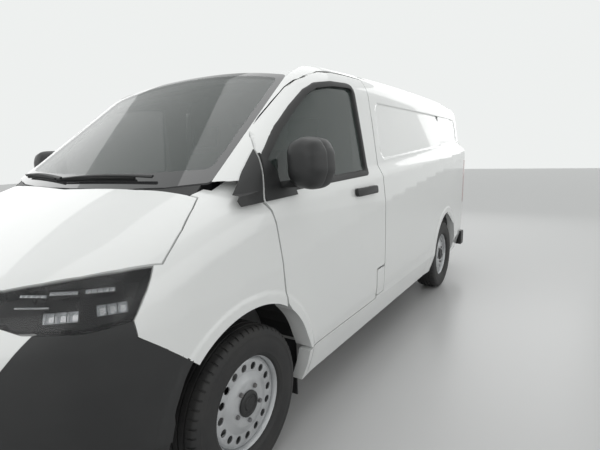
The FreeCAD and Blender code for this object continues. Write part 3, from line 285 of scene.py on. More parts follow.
def side_pressings(p):
    x, y, z = p
    rear = flare(p, REAR_AXLE_Y, REAR_ARCH) * (y > 900.0)
    front = flare(p, FRONT_AXLE_Y, FRONT_ARCH) * (y < -900.0)
    line = 395.0 + 0.03 * (y + 1000.0)
    ends = ease((y + 1120.0) / 120.0)
    swage = -SWAGE_DEEP * ease((line + 95.0 - z) / 70.0) * ends * ease((1150.0 - y) / 150.0)
    return rear + front + swage


def blanked_body(y0, y1):
    """The side with its pressings and a window blank from one place to another."""
    return lambda p: rail_body(p) - side_pressings(p) - blank(p, y0, y1)


def roof_body(p):
    x, y, z = p
    ribs = 0.0
    for line in RIB_LINES:
        ribs = ribs - 7.0 * ease((34.0 - np.abs(x - line)) / 20.0)
    ribs = ribs * ease((y - 120.0) / 60.0) * ease((2280.0 - y) / 60.0)
    return rail_body(p) - ribs


def rises(form, points):
    """Values of a form at points in metres, and its outward direction there."""
    p = points.T * 1000.0
    value = form(p)
    slope = np.empty_like(points)
    for axis in range(3):
        shift = np.zeros((3, 1))
        shift[axis] = 1.5
        slope[:, axis] = (form(p + shift) - form(p - shift)) / 3.0
    return value / 1000.0, slope


SAME_PLACE = 0.00005
NEAR_FORM = 0.0095
SHORTEST = 0.0004


def raised_copy(name, form, material, inset=0.0, step=0.03, fine=None, fine_axes=(1, 2), reach=None):
    """A panel's smooth twin: its outer face is cut small and laid on the form, with the form's normals."""
    def level(p):
        return form(p) + inset

    work = bmesh.new()
    work.from_mesh(nodes[name].data)
    bmesh.ops.remove_doubles(work, verts=work.verts, dist=SAME_PLACE)
    work.normal_update()
    work.verts.index_update()
    points = np.array([v.co[:] for v in work.verts])
    value, slope = rises(level, points)
    slope /= np.linalg.norm(slope, axis=1)[:, None]
    for face in work.faces:
        ids = [v.index for v in face.verts]
        outward = slope[ids].mean(0)
        close = np.abs(value[ids]).max() < NEAR_FORM and np.dot(outward, face.normal) > 0.75
        face.material_index = 1 if close else 0
    seams = [e for e in work.edges if len(e.link_faces) == 2 and all(f.material_index for f in e.link_faces)]
    inside = [v for v in work.verts if all(f.material_index for f in v.link_faces)]
    bmesh.ops.dissolve_limit(work, angle_limit=0.3, verts=inside, edges=seams, delimit={"MATERIAL"})
    low = points.min(0)
    high = points.max(0)

    def cut(axis, gap, index):
        normal = [0.0, 0.0, 0.0]
        normal[axis] = 1.0
        for count in range(math.ceil(low[axis] / gap), math.floor(high[axis] / gap) + 1):
            place = [0.0, 0.0, 0.0]
            place[axis] = count * gap + 0.00013
            faces = [f for f in work.faces if f.material_index >= index]
            edges = {e for f in faces for e in f.edges}
            verts = {v for f in faces for v in f.verts}
            bmesh.ops.bisect_plane(work, geom=[*faces, *edges, *verts], dist=0.0002, plane_co=place,
                                   plane_no=normal)

    for axis in range(3):
        cut(axis, step, 1)
    if fine is not None:
        for face in work.faces:
            if face.material_index and fine(np.array(face.calc_center_median())[:, None] * 1000.0)[0]:
                face.material_index = 2
        for axis in fine_axes:
            cut(axis, step / 3.0, 2)
    work.verts.index_update()
    points = np.array([v.co[:] for v in work.verts])
    if reach is not None:
        points = reach(points)
    outer = np.array(sorted({v.index for f in work.faces if f.material_index for v in f.verts}))
    for _ in range(4):
        value, slope = rises(level, points[outer])
        points[outer] -= slope * (value / np.maximum((slope ** 2).sum(1), 1e-9))[:, None]
    for vert, place in zip(work.verts, points):
        vert.co = place
    bmesh.ops.dissolve_degenerate(work, dist=SHORTEST, edges=work.edges)
    bmesh.ops.triangulate(work, faces=work.faces, ngon_method="EAR_CLIP")
    work.normal_update()
    tags = np.array([f.material_index > 0 for f in work.faces])
    flat = np.array([f.normal[:] for f in work.faces])
    mesh = bpy.data.meshes.new(name + "_skin")
    for face in work.faces:
        face.material_index = 0
        face.smooth = True
    work.verts.index_update()
    faces = np.array([[v.index for v in f.verts] for f in work.faces])
    points = np.array([v.co[:] for v in work.verts])
    work.to_mesh(mesh)
    work.free()
    _, slope = rises(level, points)
    slope /= np.maximum(np.linalg.norm(slope, axis=1), 1e-9)[:, None]
    normals = np.repeat(flat[:, None, :], 3, axis=1)
    smooth = slope[faces]
    agree = (smooth * flat[:, None, :]).sum(2).min(1) > 0.3
    normals[tags & agree] = smooth[tags & agree]
    mesh.materials.append(material)
    mesh.normals_split_custom_set([tuple(n) for n in normals.reshape(-1, 3)])
    mesh.update()
    piece = bpy.data.objects.new(name + "_skin", mesh)
    bpy.context.scene.collection.objects.link(piece)
    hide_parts(name)
    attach(piece, nodes[name]["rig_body"])
    return piece


def van_paint():
    """Solid white with clear coat over it. A faint orange peel breaks up the reflections."""
    material = finish("white_paint", (0.80, 0.81, 0.80), (0.765, 0.775, 0.77), 0.34, grain=90.0, patch=1.4,
                      height=0.00004, coat=1.0, mix=0.6)
    material.node_tree.nodes["Principled BSDF"].inputs["Coat Roughness"].default_value = 0.03
    return material


white_paint = van_paint()


def near_front_arch(p):
    x, y, z = p
    return np.abs(np.hypot(y + 1525.0, z - ARCH_LEVEL) - 430.0) < 75.0


def near_pressings(p):
    x, y, z = p
    rear = np.abs(np.hypot(y - 1575.0, z - ARCH_LEVEL) - 430.0) < 75.0
    belt = belt_line(y)
    edge = (np.abs(z - belt - 24.0) < 30.0) | (np.abs(z - BLANK_TOP) < 25.0)
    upright = np.zeros(len(x), dtype=bool)
    for line, reach in ((-20.0, 25.0), (2300.0, 60.0), (1190.0, 25.0), (960.0, 50.0), (0.0, 25.0)):
        upright |= np.abs(y - line) < reach
    return rear | near_front_arch(p) | edge | ((z > belt) & (z < 1750.0) & upright)


def near_ribs(p):
    x, y, z = p
    close = np.zeros(len(x), dtype=bool)
    for line in RIB_LINES:
        close |= np.abs(x - line) < 40.0
    return close & (y > 100.0) & (y < 2300.0)


raised_copy("side_panel_left", blanked_body(-20.0, 2330.0), white_paint, fine=near_pressings)
raised_copy("side_panel_right", blanked_body(1190.0, 2330.0), white_paint, fine=near_pressings)
raised_copy("sliding_door_right", blanked_body(0.0, 990.0), white_paint, fine=near_pressings)
raised_copy("roof", roof_body, white_paint, fine=near_ribs, fine_axes=(0,))

# Cab doors and filler flap
# Hollow pressed doors in the same paint, hinged at their front edge, with slim window frames and a
# small flap over the filler at the left door's lower corner.


def cab_body(p):
    return rail_body(p) - side_pressings(p)


for side in ("left", "right"):
    raised_copy("front_door_" + side, cab_body, white_paint, fine=near_pressings)
raised_copy("filler_flap", cab_body, white_paint)

# Bonnet, wings and front bumper
# The clamshell bonnet, wings and middle of the bumper are painted, and the bumper's corners are
# grained black plastic that runs into the arch.

NOSE_Y = -2524.6
NOSE_BLEND = 360.0
BONNET_BLEND = 120.0


def front_body(p):
    x, y, z = p
    nose = NOSE_Y + 0.0003 * x * x + 0.00055 * (z - 540.0) ** 2 - y
    back = y + 1600.0
    top = z - (1310.0 + 0.336 * back - 0.00019 * back ** 2 - 0.00000000014 * x ** 4)
    round_nose = soft_max(side_form(p), nose, NOSE_BLEND)
    return soft_max(round_nose, top, BONNET_BLEND) - flare(p, FRONT_AXLE_Y, FRONT_ARCH)


black_plastic = finish("black_plastic", (0.017, 0.0175, 0.018), (0.024, 0.0245, 0.025), 0.44, grain=900.0,
                       patch=5.0, height=0.00025)
DOOR_EDGE = [(-1288, 735), (-1308, 900), (-1317, 1015), (-1326, 1114), (-1345, 1172), (-1372, 1210)]
DOOR_GAP = 9.0


def wing_reach(points):
    """Draws the wing's rear end back to the door's edge, along the arch at its foot."""
    y, z = points[:, 1] * 1000.0, points[:, 2] * 1000.0
    edge = np.interp(z, [p[1] for p in DOOR_EDGE], [p[0] for p in DOOR_EDGE]) - DOOR_GAP
    move = np.maximum(edge + 1370.0, 0.0) * np.clip((y + 1480.0) / 110.0, 0.0, 1.0)
    away = np.hypot(y + 1525.0, z - ARCH_LEVEL)
    arch = ARCH_LEVEL + np.sqrt(np.maximum(away ** 2 - (y + move + 1525.0) ** 2, 1.0))
    low = 1.0 - ease((z - 780.0) / 160.0)
    out = points.copy()
    out[:, 1] = (y + move) / 1000.0
    out[:, 2] = (z + (arch - z) * low * (move > 0.0)) / 1000.0
    return out


for side in ("left", "right"):
    raised_copy("wing_" + side, front_body, white_paint, fine=near_front_arch, reach=wing_reach)
raised_copy("bonnet", front_body, white_paint)
raised_copy("front_bumper", front_body, white_paint)


CORNER_SPLIT = 526.0


def corner_reach(points):
    """Draws the bumper corner's rear end back to the wheel arch, under the wing's lower edge."""
    y, z = points[:, 1] * 1000.0, points[:, 2] * 1000.0
    part = np.clip((y + 2010.0) / 95.0, 0.0, 1.0) * (np.abs(points[:, 0]) > 0.8)
    above = np.maximum(z - CORNER_SPLIT, 0.0)
    lower = CORNER_SPLIT + above * (1.0 - 0.354 * part)
    height = np.clip(CORNER_SPLIT + above * 0.646 - ARCH_LEVEL, 0.0, FRONT_ARCH)
    arch = -1525.0 - np.sqrt(424.0 ** 2 - height ** 2)
    out = points.copy()
    out[:, 1] = (y + np.maximum(arch + 1918.0, 0.0) * part * (above > 0.0)) / 1000.0
    out[:, 2] = np.where(above > 0.0, lower, z) / 1000.0
    return out


raised_copy("bumper_corners", front_body, black_plastic, fine=near_front_arch, reach=corner_reach)
dress(black_plastic, "rear_bumper", "cowl", "mudflaps", "arch_liners", "grille", "lower_grille")

# Rear doors
# Two pressed steel doors in the same paint, with blank windows over a lower pressing each, hung on
# outside hinges at the body's corners.


def tail_body(p):
    x, y, z = p
    x = np.abs(x)
    face = y - (2488.0 - 0.00005 * x * x - 0.00003 * (z - 900.0) ** 2)

    def pressed(x0, x1, z0, z1):
        inside = np.minimum(np.minimum(x - x0, x1 - x), np.minimum(z - z0, z1 - z))
        return -PRESSED * ease(inside / 16.0 + 0.5)

    return face - pressed(90.0, 740.0, 1260.0, 1660.0) - pressed(90.0, 800.0, 620.0, 1130.0)


for side in ("left", "right"):
    raised_copy("rear_door_" + side, tail_body, white_paint, step=0.02)

# Windows
# Laminated screen, bonded in, with a black ceramic border printed on it, and green tinted glass that
# runs in the doors' rubber frames.


def window_glass(name, tint, border=None):
    """Dark see-through glass. The border is a mask from its place, black where it is one."""
    material = bpy.data.materials.new(name)
    material.use_nodes = True
    tree = material.node_tree
    shader = tree.nodes["Principled BSDF"]
    shader.inputs["Roughness"].default_value = 0.02
    shader.inputs["IOR"].default_value = 1.5
    shader.inputs["Coat Weight"].default_value = 0.6
    shader.inputs["Coat Roughness"].default_value = 0.02
    colour = tree.nodes.new("ShaderNodeMix")
    colour.data_type = "RGBA"
    colour.inputs[6].default_value = (*tint, 1.0)
    colour.inputs[7].default_value = (0.03, 0.03, 0.032, 1.0)
    place = tree.nodes.new("ShaderNodeTexCoord")
    split = tree.nodes.new("ShaderNodeSeparateXYZ")
    join(tree, place.outputs["Object"], split.inputs[0])
    mask = border(tree, split.outputs) if border else maths(tree, "MULTIPLY", split.outputs[0], 0.0)
    join(tree, mask, colour.inputs[0])
    join(tree, colour.outputs[2], shader.inputs["Base Color"])
    join(tree, maths(tree, "MULTIPLY_ADD", mask, 0.42, 0.58), shader.inputs["Alpha"])
    return material


def screen_border(tree, xyz):
    x, y, z = xyz
    out = maths(tree, "ABSOLUTE", x)
    edge = maths(tree, "MULTIPLY_ADD", y, -0.11255, 0.816 - 0.11255 * 1.531)
    side = maths(tree, "SUBTRACT", out, maths(tree, "SUBTRACT", edge, 0.045))
    square = maths(tree, "MULTIPLY", x, x)
    foot = maths(tree, "MULTIPLY_ADD", square, 0.19, -1.668 + 0.085)
    low = maths(tree, "SUBTRACT", foot, y)
    top = maths(tree, "SUBTRACT", y, maths(tree, "MULTIPLY_ADD", square, -0.048, -0.812 - 0.035))
    worst = maths(tree, "SMOOTH_MAX", maths(tree, "SMOOTH_MAX", side, low, 0.05), top, 0.05)
    return maths(tree, "MULTIPLY_ADD", worst, 400.0, 0.5)


def clamped(tree, value):
    node = tree.nodes.new("ShaderNodeClamp")
    tree.links.new(value, node.inputs[0])
    return node.outputs[0]


screen_glass = window_glass("screen_glass", (0.06, 0.075, 0.07), lambda t, s: clamped(t, screen_border(t, s)))
door_glass = window_glass("door_glass", (0.05, 0.068, 0.062))
raised_copy("windscreen", upper_form, screen_glass, step=0.04)
for side in ("left", "right"):
    raised_copy("door_glass_" + side, cab_body, door_glass, inset=14.0, step=0.04)

# Trims, mirrors and handles
# Grained black plastic: corner covers, door mirrors on their arms with silvered glass facing back,
# rubber frames round the door glass, and pull handles with a grey lock cover.


def solid(name, points, faces, material, body, angle=0.6):
    """A closed piece from its points and faces, turned outward and shaded smooth below an angle."""
    mesh = bpy.data.meshes.new(name)
    mesh.from_pydata([tuple(map(float, p)) for p in points], [], [tuple(map(int, f)) for f in faces])
    work = bmesh.new()
    work.from_mesh(mesh)
    bmesh.ops.remove_doubles(work, verts=work.verts, dist=0.00002)
    bmesh.ops.recalc_face_normals(work, faces=work.faces)
    work.to_mesh(mesh)
    work.free()
    mesh.polygons.foreach_set("use_smooth", np.ones(len(mesh.polygons), dtype=bool))
    mesh.set_sharp_from_angle(angle=angle)
    mesh.materials.append(material)
    piece = bpy.data.objects.new(name, mesh)
    bpy.context.scene.collection.objects.link(piece)
    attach(piece, body)
    return piece


def tube_faces(rings, count, closed=True):
    """Quads between rings of points, round and closed on itself, or open and capped at its ends."""
    faces = []
    for i in range(rings if closed else rings - 1):
        for k in range(count):
            a = i * count + k
            b = i * count + (k + 1) % count
            c = ((i + 1) % rings) * count
            faces.append((a, b, c + (k + 1) % count, c + k))
    if not closed:
        faces.append(tuple(range(count))[::-1])
        faces.append(tuple(range((rings - 1) * count, rings * count)))
    return faces


def rounded_path(points, radius, spacing):
    """Closed path through a side outline, with its corners rounded, at an even spacing."""
    corners = np.array(points, dtype=float)
    path = []
    for i in range(len(corners)):
        before, here, after = corners[i - 1], corners[i], corners[(i + 1) % len(corners)]
        into = (before - here) / np.linalg.norm(before - here)
        away = (after - here) / np.linalg.norm(after - here)
        turn = math.pi - math.acos(max(-1.0, min(1.0, float(into @ away))))
        run = min(radius * math.tan(turn / 2.0), 0.45 * np.linalg.norm(before - here),
                  0.45 * np.linalg.norm(after - here))
        for t in np.linspace(0.0, 1.0, 9):
            bend = (1 - t) ** 2 * (here + into * run) + 2 * t * (1 - t) * here
            path.append(bend + t * t * (here + away * run))
    path = np.array(path)
    step = np.linalg.norm(np.roll(path, -1, 0) - path, axis=1)
    total = step.sum()
    along = np.concatenate([[0.0], np.cumsum(step)])
    wrap = np.vstack([path, path[:1]])
    count = int(total / spacing)
    places = np.linspace(0.0, total, count, endpoint=False)
    return np.stack([np.interp(places, along, wrap[:, 0]), np.interp(places, along, wrap[:, 1])], 1)


def path_outward(path):
    run = np.roll(path, -1, 0) - np.roll(path, 1, 0)
    run /= np.linalg.norm(run, axis=1)[:, None]
    out = np.stack([run[:, 1], -run[:, 0]], 1)
    middle = path.mean(0)
    if ((path - middle) * out).sum() < 0:
        out = -out
    return out


def on_body(y, z, height, form, side):
    x = np.full_like(y, 940.0)
    for _ in range(14):
        value = form(np.array([x, y, z])) - height
        rise = (form(np.array([x + 1.0, y, z])) - form(np.array([x - 1.0, y, z]))) / 2.0
        x = x - value / np.maximum(rise, 0.2)
    return np.stack([side * x, y, z], 1) / 1000.0


GLASS_EDGE = [(-300, 1290), (-1262, 1262), (-1296, 1392), (-1150, 1520), (-1008, 1626), (-868, 1720),
              (-772, 1762), (-596, 1790), (-400, 1802), (-340, 1798)]
FRAME_SECTION = [(-10, -13.5), (-8, -6), (-4, 0.8), (2, 2.4), (18, 2.4), (24, 1.2), (26, -3), (8, -8)]
rubber = finish("door_rubber", (0.012, 0.012, 0.0125), (0.02, 0.02, 0.02), 0.5, grain=800.0, height=0.0001)
glass_path = rounded_path(GLASS_EDGE, 30.0, 14.0)
glass_out = path_outward(glass_path)
for side, sign in (("left", 1.0), ("right", -1.0)):
    layers = []
    for gap, height in FRAME_SECTION:
        yz = glass_path + glass_out * gap
        layers.append(on_body(yz[:, 0], yz[:, 1], height, cab_body, sign))
    ring = np.stack(layers, 1).reshape(-1, 3)
    quads = tube_faces(len(glass_path), len(FRAME_SECTION))
    solid("glass_frame_" + side, ring, quads, rubber, "cab_door_" + side)

raised_copy("pillar_trims", rail_body, black_plastic, inset=-4.0)
MIRROR_X = 1182.0
MIRROR_FACE = [(-170, 1300), (-172, 1440), (-150, 1468), (-90, 1486), (-30, 1470), (0, 1420), (5, 1335),
               (-20, 1272), (-60, 1252), (-130, 1262)]
mirror_silver = finish("mirror_silver", (0.85, 0.86, 0.87), (0.8, 0.81, 0.82), 0.03, metal=1.0, height=0.0)
mirror_path = rounded_path(MIRROR_FACE, 46.0, 12.0)
mirror_middle = np.array([-85.0, 1375.0])
MIRROR_RINGS = [(-1292, 0.30), (-1291, 0.48), (-1286, 0.66), (-1275, 0.82), (-1258, 0.92), (-1238, 0.975),
                (-1214, 0.995), (-1203, 1.0), (-1200, 0.988), (-1197, 1.0), (-1160, 1.0), (-1136, 0.99),
                (-1130, 0.975), (-1131, 0.93), (-1146, 0.92), (-1147, 0.3)]
PANE_RINGS = [(-1146.5, 0.90), (-1143.0, 0.90), (-1142.5, 0.88)]


def mirror_rings(stations, sign):
    """The mirror's outline at each place along the van, drawn in by its share."""
    rings = []
    for y, scale in stations:
        xz = mirror_middle + (mirror_path - mirror_middle) * scale
        rings.append(np.stack([sign * (MIRROR_X + xz[:, 0]), np.full(len(xz), y), xz[:, 1]], 1) / 1000.0)
    return np.concatenate(rings)


for side, sign in (("left", 1.0), ("right", -1.0)):
    carrier = raised_copy("mirror_" + side, rail_body, black_plastic, inset=-8.3)
    carrier.name = "mirror_arm_" + side
    work = bmesh.new()
    work.from_mesh(carrier.data)
    far = [f for f in work.faces if abs(f.calc_center_median().x) > 1.012]
    bmesh.ops.delete(work, geom=far, context="FACES")
    bmesh.ops.holes_fill(work, edges=[e for e in work.edges if e.is_boundary], sides=0)
    work.to_mesh(carrier.data)
    work.free()
    count = len(mirror_path)
    solid("mirror_housing_" + side, mirror_rings(MIRROR_RINGS, sign),
          tube_faces(len(MIRROR_RINGS), count, closed=False), black_plastic, "cab_door_" + side, angle=0.7)
    solid("mirror_pane_" + side, mirror_rings(PANE_RINGS, sign),
          tube_faces(len(PANE_RINGS), count, closed=False), mirror_silver, "cab_door_" + side)


def softened(name, width, material, segments=2):
    """A node's twin with its sharp edges rounded."""
    work = bmesh.new()
    work.from_mesh(nodes[name].data)
    bmesh.ops.remove_doubles(work, verts=work.verts, dist=SAME_PLACE)
    bmesh.ops.dissolve_limit(work, angle_limit=0.02, verts=work.verts, edges=work.edges)
    mesh = bpy.data.meshes.new(name + "_soft")
    work.to_mesh(mesh)
    work.free()
    piece = bpy.data.objects.new(name + "_soft", mesh)
    bpy.context.scene.collection.objects.link(piece)
    rounder = piece.modifiers.new("edges", "BEVEL")
    rounder.width = width
    rounder.segments = segments
    rounder.limit_method = "ANGLE"
    rounder.angle_limit = 0.5
    rounder.harden_normals = False
    graph = bpy.context.evaluated_depsgraph_get()
    done = bpy.data.meshes.new_from_object(piece.evaluated_get(graph))
    piece.modifiers.clear()
    piece.data = done
    done.materials.clear()
    done.materials.append(material)
    done.polygons.foreach_set("use_smooth", np.ones(len(done.polygons), dtype=bool))
    done.set_sharp_from_angle(angle=0.7)
    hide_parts(name)
    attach(piece, nodes[name]["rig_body"])
    return piece


LOCK_FACE = [(-26, -15), (26, -15), (26, 15), (-26, 15)]
LOCK_PLACE = np.array([-290.0, 1176.0])
lock_grey = finish("lock_grey", (0.3, 0.31, 0.32), (0.36, 0.37, 0.38), 0.3, metal=0.5)
for side, sign in (("left", 1.0), ("right", -1.0)):
    softened("door_handle_" + side, 0.004, black_plastic)
    cover = []
    for height, grow in ((6.0, 1.0), (23.0, 1.0), (25.0, 0.86)):
        yz = rounded_path(LOCK_FACE, 9.0, 5.0) * grow + LOCK_PLACE
        cover.append(on_body(yz[:, 0], yz[:, 1], height, cab_body, sign))
    solid("lock_cover_" + side, np.concatenate(cover), tube_faces(3, len(cover[0]), closed=False), lock_grey,
          "cab_door_" + side)

# Lamps
# Smoked wrap-round headlamps over dark sunk housings with faceted bright reflectors and light bars,
# and red tail lamps in the body's rear corners.

HOUSING_INSET = 5.6
SINK = 0.034
lamp_lens = window_glass("lamp_lens", (0.012, 0.012, 0.013))
lamp_shader = lamp_lens.node_tree.nodes["Principled BSDF"]
for link in list(lamp_shader.inputs["Alpha"].links):
    lamp_lens.node_tree.links.remove(link)
lamp_shader.inputs["Alpha"].default_value = 0.22
lamp_body = finish("lamp_body", (0.012, 0.012, 0.013), (0.03, 0.03, 0.032), 0.22)
chrome = finish("lamp_chrome", (0.78, 0.79, 0.8), (0.7, 0.71, 0.72), 0.12, metal=1.0, height=0.0)
red_lens = finish("red_lens", (0.32, 0.01, 0.008), (0.24, 0.008, 0.006), 0.15, coat=1.0)
raised_copy("headlamp_lenses", front_body, lamp_lens)
housing = raised_copy("headlamps", front_body, lamp_body, inset=HOUSING_INSET)
work = bmesh.new()
work.from_mesh(housing.data)
places = np.array([v.co[:] for v in work.verts])
value, slope = rises(front_body, places)
slope /= np.linalg.norm(slope, axis=1)[:, None]
shown = np.abs(value + 0.0056) < 0.0008
inner = [v.index for v in work.verts if shown[v.index]
         and all(shown[o.index] for f in v.link_faces for o in f.verts)]
work.verts.ensure_lookup_table()
for i in inner:
    work.verts[i].co = places[i] - slope[i] * SINK
work.to_mesh(housing.data)
work.free()
housing.data.normals_split_custom_set([(0.0, 0.0, 0.0)] * len(housing.data.loops))
housing.data.polygons.foreach_set("use_smooth", np.zeros(len(housing.data.polygons), dtype=bool))


def lamp_block(name, middle, half_run, half_rise, depth, facets):
    """A bright tray with slanted facets, standing on the housing and facing out through the lens."""
    for side, sign in (("left", 1.0), ("right", -1.0)):
        value, slope = rises(front_body, np.array([middle]) / 1000.0)
        out = slope[0] / np.linalg.norm(slope[0])
        base = np.array(middle) - out * (value[0] * 1000.0 + 9.0)
        run = np.cross([0.0, 0.0, 1.0], out)
        run /= np.linalg.norm(run)
        rise = np.cross(out, run)
        points = []
        faces = []
        for i in range(facets):
            a = -half_run + 2.0 * half_run * i / facets
            b = -half_run + 2.0 * half_run * (i + 0.92) / facets
            c, d = 0.72 * a + 0.28 * b, 0.28 * a + 0.72 * b
            start = len(points)
            corners = []
            for left, right, half, level in ((a, b, half_rise, 0.0), (c, d, half_rise * 0.5, -depth),
                                             (a, b, half_rise, -depth - 3.0)):
                corners += [(left, -half, level), (right, -half, level),
                            (right, half, level), (left, half, level)]
            for u, v, w in corners:
                p = base + run * u + rise * v + out * w
                points.append((sign * p[0] / 1000.0, p[1] / 1000.0, p[2] / 1000.0))
            for k in range(4):
                n = (k + 1) % 4
                faces.append((start + k, start + n, start + 4 + n, start + 4 + k))
                faces.append((start + k, start + 8 + k, start + 8 + n, start + n))
            faces.append((start + 4, start + 5, start + 6, start + 7))
            faces.append((start + 8, start + 11, start + 10, start + 9))
        solid("%s_%s" % (name, side), points, faces, chrome, "van_body", angle=0.2)


lamp_block("dip_reflector", (787.0, -2176.0, 938.0), 52.0, 17.0, 20.0, 3)
lamp_block("main_reflector", (880.0, -2060.0, 945.0), 46.0, 17.0, 20.0, 3)
lamp_block("light_bar_inner", (672.0, -2194.0, 994.0), 46.0, 5.0, 8.0, 5)
lamp_block("light_bar_middle", (752.0, -2140.0, 1001.0), 44.0, 6.0, 8.0, 5)
lamp_block("light_bar_outer", (838.0, -2070.0, 1006.0), 44.0, 7.0, 8.0, 5)
lamp_block("flash_strip", (700.0, -2215.0, 968.0), 60.0, 3.0, 6.0, 1)
softened("tail_lamps", 0.006, red_lens)

# Wheels
# Pressed steel wheels painted silver with sixteen round vents, five bolts and a black cap, in radial
# tyres with four grooves round the tread and slots across its shoulders.

WHEEL_RADIUS = 343.0
WHEEL_X = 868.0
VENTS = 16
VENT_RING = 158.0
SHEET_INNER = 134.0
SHEET_OUTER = 182.0


def turned(profile, turns, centre, out, lower=None):
    """Points of a profile, given as (outward, radius) in millimetres, turned round the axle."""
    points = np.empty((len(turns), len(profile), 3))
    for k, (run, radius) in enumerate(profile):
        r = np.full(len(turns), radius)
        if lower is not None:
            r = r - lower(run, radius, np.arange(len(turns)))
        points[:, k, 0] = centre[0] + out * run
        points[:, k, 1] = centre[1] + r * np.cos(turns)
        points[:, k, 2] = centre[2] + r * np.sin(turns)
    return points.reshape(-1, 3) / 1000.0


def tyre_profile():
    wall = [(84, 207), (93, 212), (99, 222), (101, 225), (101, 229), (104, 240), (106.5, 262), (106, 284),
            (103.5, 300), (104.5, 303), (103, 308), (98, 322), (92, 331), (86, 335.5), (80, 338.5)]
    tread = []
    for edge in (-50.0, -17.0, 17.0, 50.0):
        for run, deep in ((edge - 5.0, 0.0), (edge - 4.0, 7.0), (edge + 4.0, 7.0), (edge + 5.0, 0.0)):
            tread.append((run, WHEEL_RADIUS - 0.0006 * run * run - deep))
    return [(-u, r) for u, r in wall] + tread + wall[::-1]


def wheel_sheet():
    """Vented ring of the disc: a fan of quads from each vent's edge to the borders of its share."""
    share = 2.0 * math.pi / VENTS
    points = []
    faces = []
    count = 28
    for i in range(VENTS):
        middle = share * i
        border = []
        for t in np.linspace(-0.5, 0.5, 8)[:-1]:
            border.append((SHEET_INNER, middle + t * share))
        for t in np.linspace(SHEET_INNER, SHEET_OUTER, 8)[:-1]:
            border.append((t, middle + 0.5 * share))
        for t in np.linspace(0.5, -0.5, 8)[:-1]:
            border.append((SHEET_OUTER, middle + t * share))
        for t in np.linspace(SHEET_OUTER, SHEET_INNER, 8)[:-1]:
            border.append((t, middle - 0.5 * share))
        centre = np.array([VENT_RING * math.cos(middle), VENT_RING * math.sin(middle)])
        start = len(points)
        edge = np.array([(r * math.cos(a), r * math.sin(a)) for r, a in border])
        toward = edge - centre
        toward /= np.linalg.norm(toward, axis=1)[:, None]
        rows = [(edge, 0.0), (centre + toward * 20.0, 0.0), (centre + toward * 17.2, -0.8),
                (centre + toward * 16.2, -3.5), (centre + toward * 16.2, -6.0), (edge, -6.0)]
        for ring, drop in rows:
            for y, z in ring:
                run = 64.5 - 1.5 * abs((math.hypot(y, z) - VENT_RING) / 24.0) ** 3
                points.append((run + drop, y, z))
        for row in range(len(rows) - 1):
            for k in range(count):
                n = (k + 1) % count
                a = start + row * count
                faces.append((a + k, a + n, a + count + n, a + count + k))
    return points, faces


def bolt_ring(bolt, count, radius):
    """Nodes that repeat a bolt round a circle, as real geometry."""
    tree = bpy.data.node_groups.new("bolt_ring", "GeometryNodeTree")
    tree.interface.new_socket("Geometry", in_out="INPUT", socket_type="NodeSocketGeometry")
    for label, kind, value in (("Bolts", "NodeSocketInt", count), ("Radius", "NodeSocketFloat", radius)):
        tree.interface.new_socket(label, in_out="INPUT", socket_type=kind).default_value = value
    tree.interface.new_socket("Geometry", in_out="OUTPUT", socket_type="NodeSocketGeometry")
    entry = tree.nodes.new("NodeGroupInput")
    leave = tree.nodes.new("NodeGroupOutput")
    circle = tree.nodes.new("GeometryNodeMeshCircle")
    spread = tree.nodes.new("GeometryNodeInstanceOnPoints")
    real = tree.nodes.new("GeometryNodeRealizeInstances")
    paint = tree.nodes.new("GeometryNodeSetMaterial")
    source = tree.nodes.new("GeometryNodeObjectInfo")
    source.inputs["Object"].default_value = bolt
    paint.inputs["Material"].default_value = bolt.data.materials[0]
    tree.links.new(entry.outputs["Bolts"], circle.inputs["Vertices"])
    tree.links.new(entry.outputs["Radius"], circle.inputs["Radius"])
    tree.links.new(circle.outputs["Mesh"], spread.inputs["Points"])
    tree.links.new(source.outputs["Geometry"], spread.inputs["Instance"])
    tree.links.new(spread.outputs["Instances"], real.inputs["Geometry"])
    tree.links.new(real.outputs["Geometry"], paint.inputs["Geometry"])
    tree.links.new(paint.outputs["Geometry"], leave.inputs["Geometry"])
    return tree


tyre_rubber = finish("tyre_rubber", (0.018, 0.018, 0.0185), (0.034, 0.033, 0.032), 0.62, grain=500.0,
                     patch=8.0, height=0.0002)
wheel_silver = finish("wheel_silver", (0.52, 0.53, 0.54), (0.44, 0.45, 0.46), 0.3, metal=0.35, patch=12.0,
                      coat=0.3)
bolt_steel = finish("bolt_steel", (0.25, 0.25, 0.26), (0.14, 0.13, 0.12), 0.4, metal=0.8)
BARREL = [(-89, 219.5), (-86, 221), (-76, 209), (-60, 206.5), (60, 206.5), (76, 209), (86, 221), (89, 219.5),
          (84, 211), (76, 202), (60, 198), (-60, 198), (-76, 202), (-84, 211)]
SHOULDER = [(64.5, 181), (63, 187), (58, 194), (50, 199), (44, 199), (51, 191), (57, 185), (58.5, 181)]
HUB_DISH = [(63, 135), (65, 127), (72, 109), (75.5, 101), (76, 96), (76, 52), (69, 52), (69, 95), (66, 102),
            (58, 126), (57, 135)]
CAP = [(69, 58), (84, 57), (87, 53), (88.5, 44), (84, 41), (84, 30), (88, 27), (88.5, 1), (69, 1)]
rim_turns = np.linspace(0.0, 2.0 * math.pi, 72, endpoint=False)
pitch_marks = np.array([0.0, 0.76, 0.79, 0.97])
PITCHES = 60
BOLT_RUN = 81.0
tread_turns = ((np.arange(PITCHES)[:, None] + pitch_marks[None, :]) * (2.0 * math.pi / PITCHES)).ravel()
sheet_points, sheet_faces = wheel_sheet()
section = tyre_profile()


def shoulder_slots(run, radius, turn_index):
    deep = 6.0 if abs(run) > 56.0 and radius > 326.0 else 0.0
    return np.where((turn_index % 4 == 2) | (turn_index % 4 == 3), deep, 0.0)


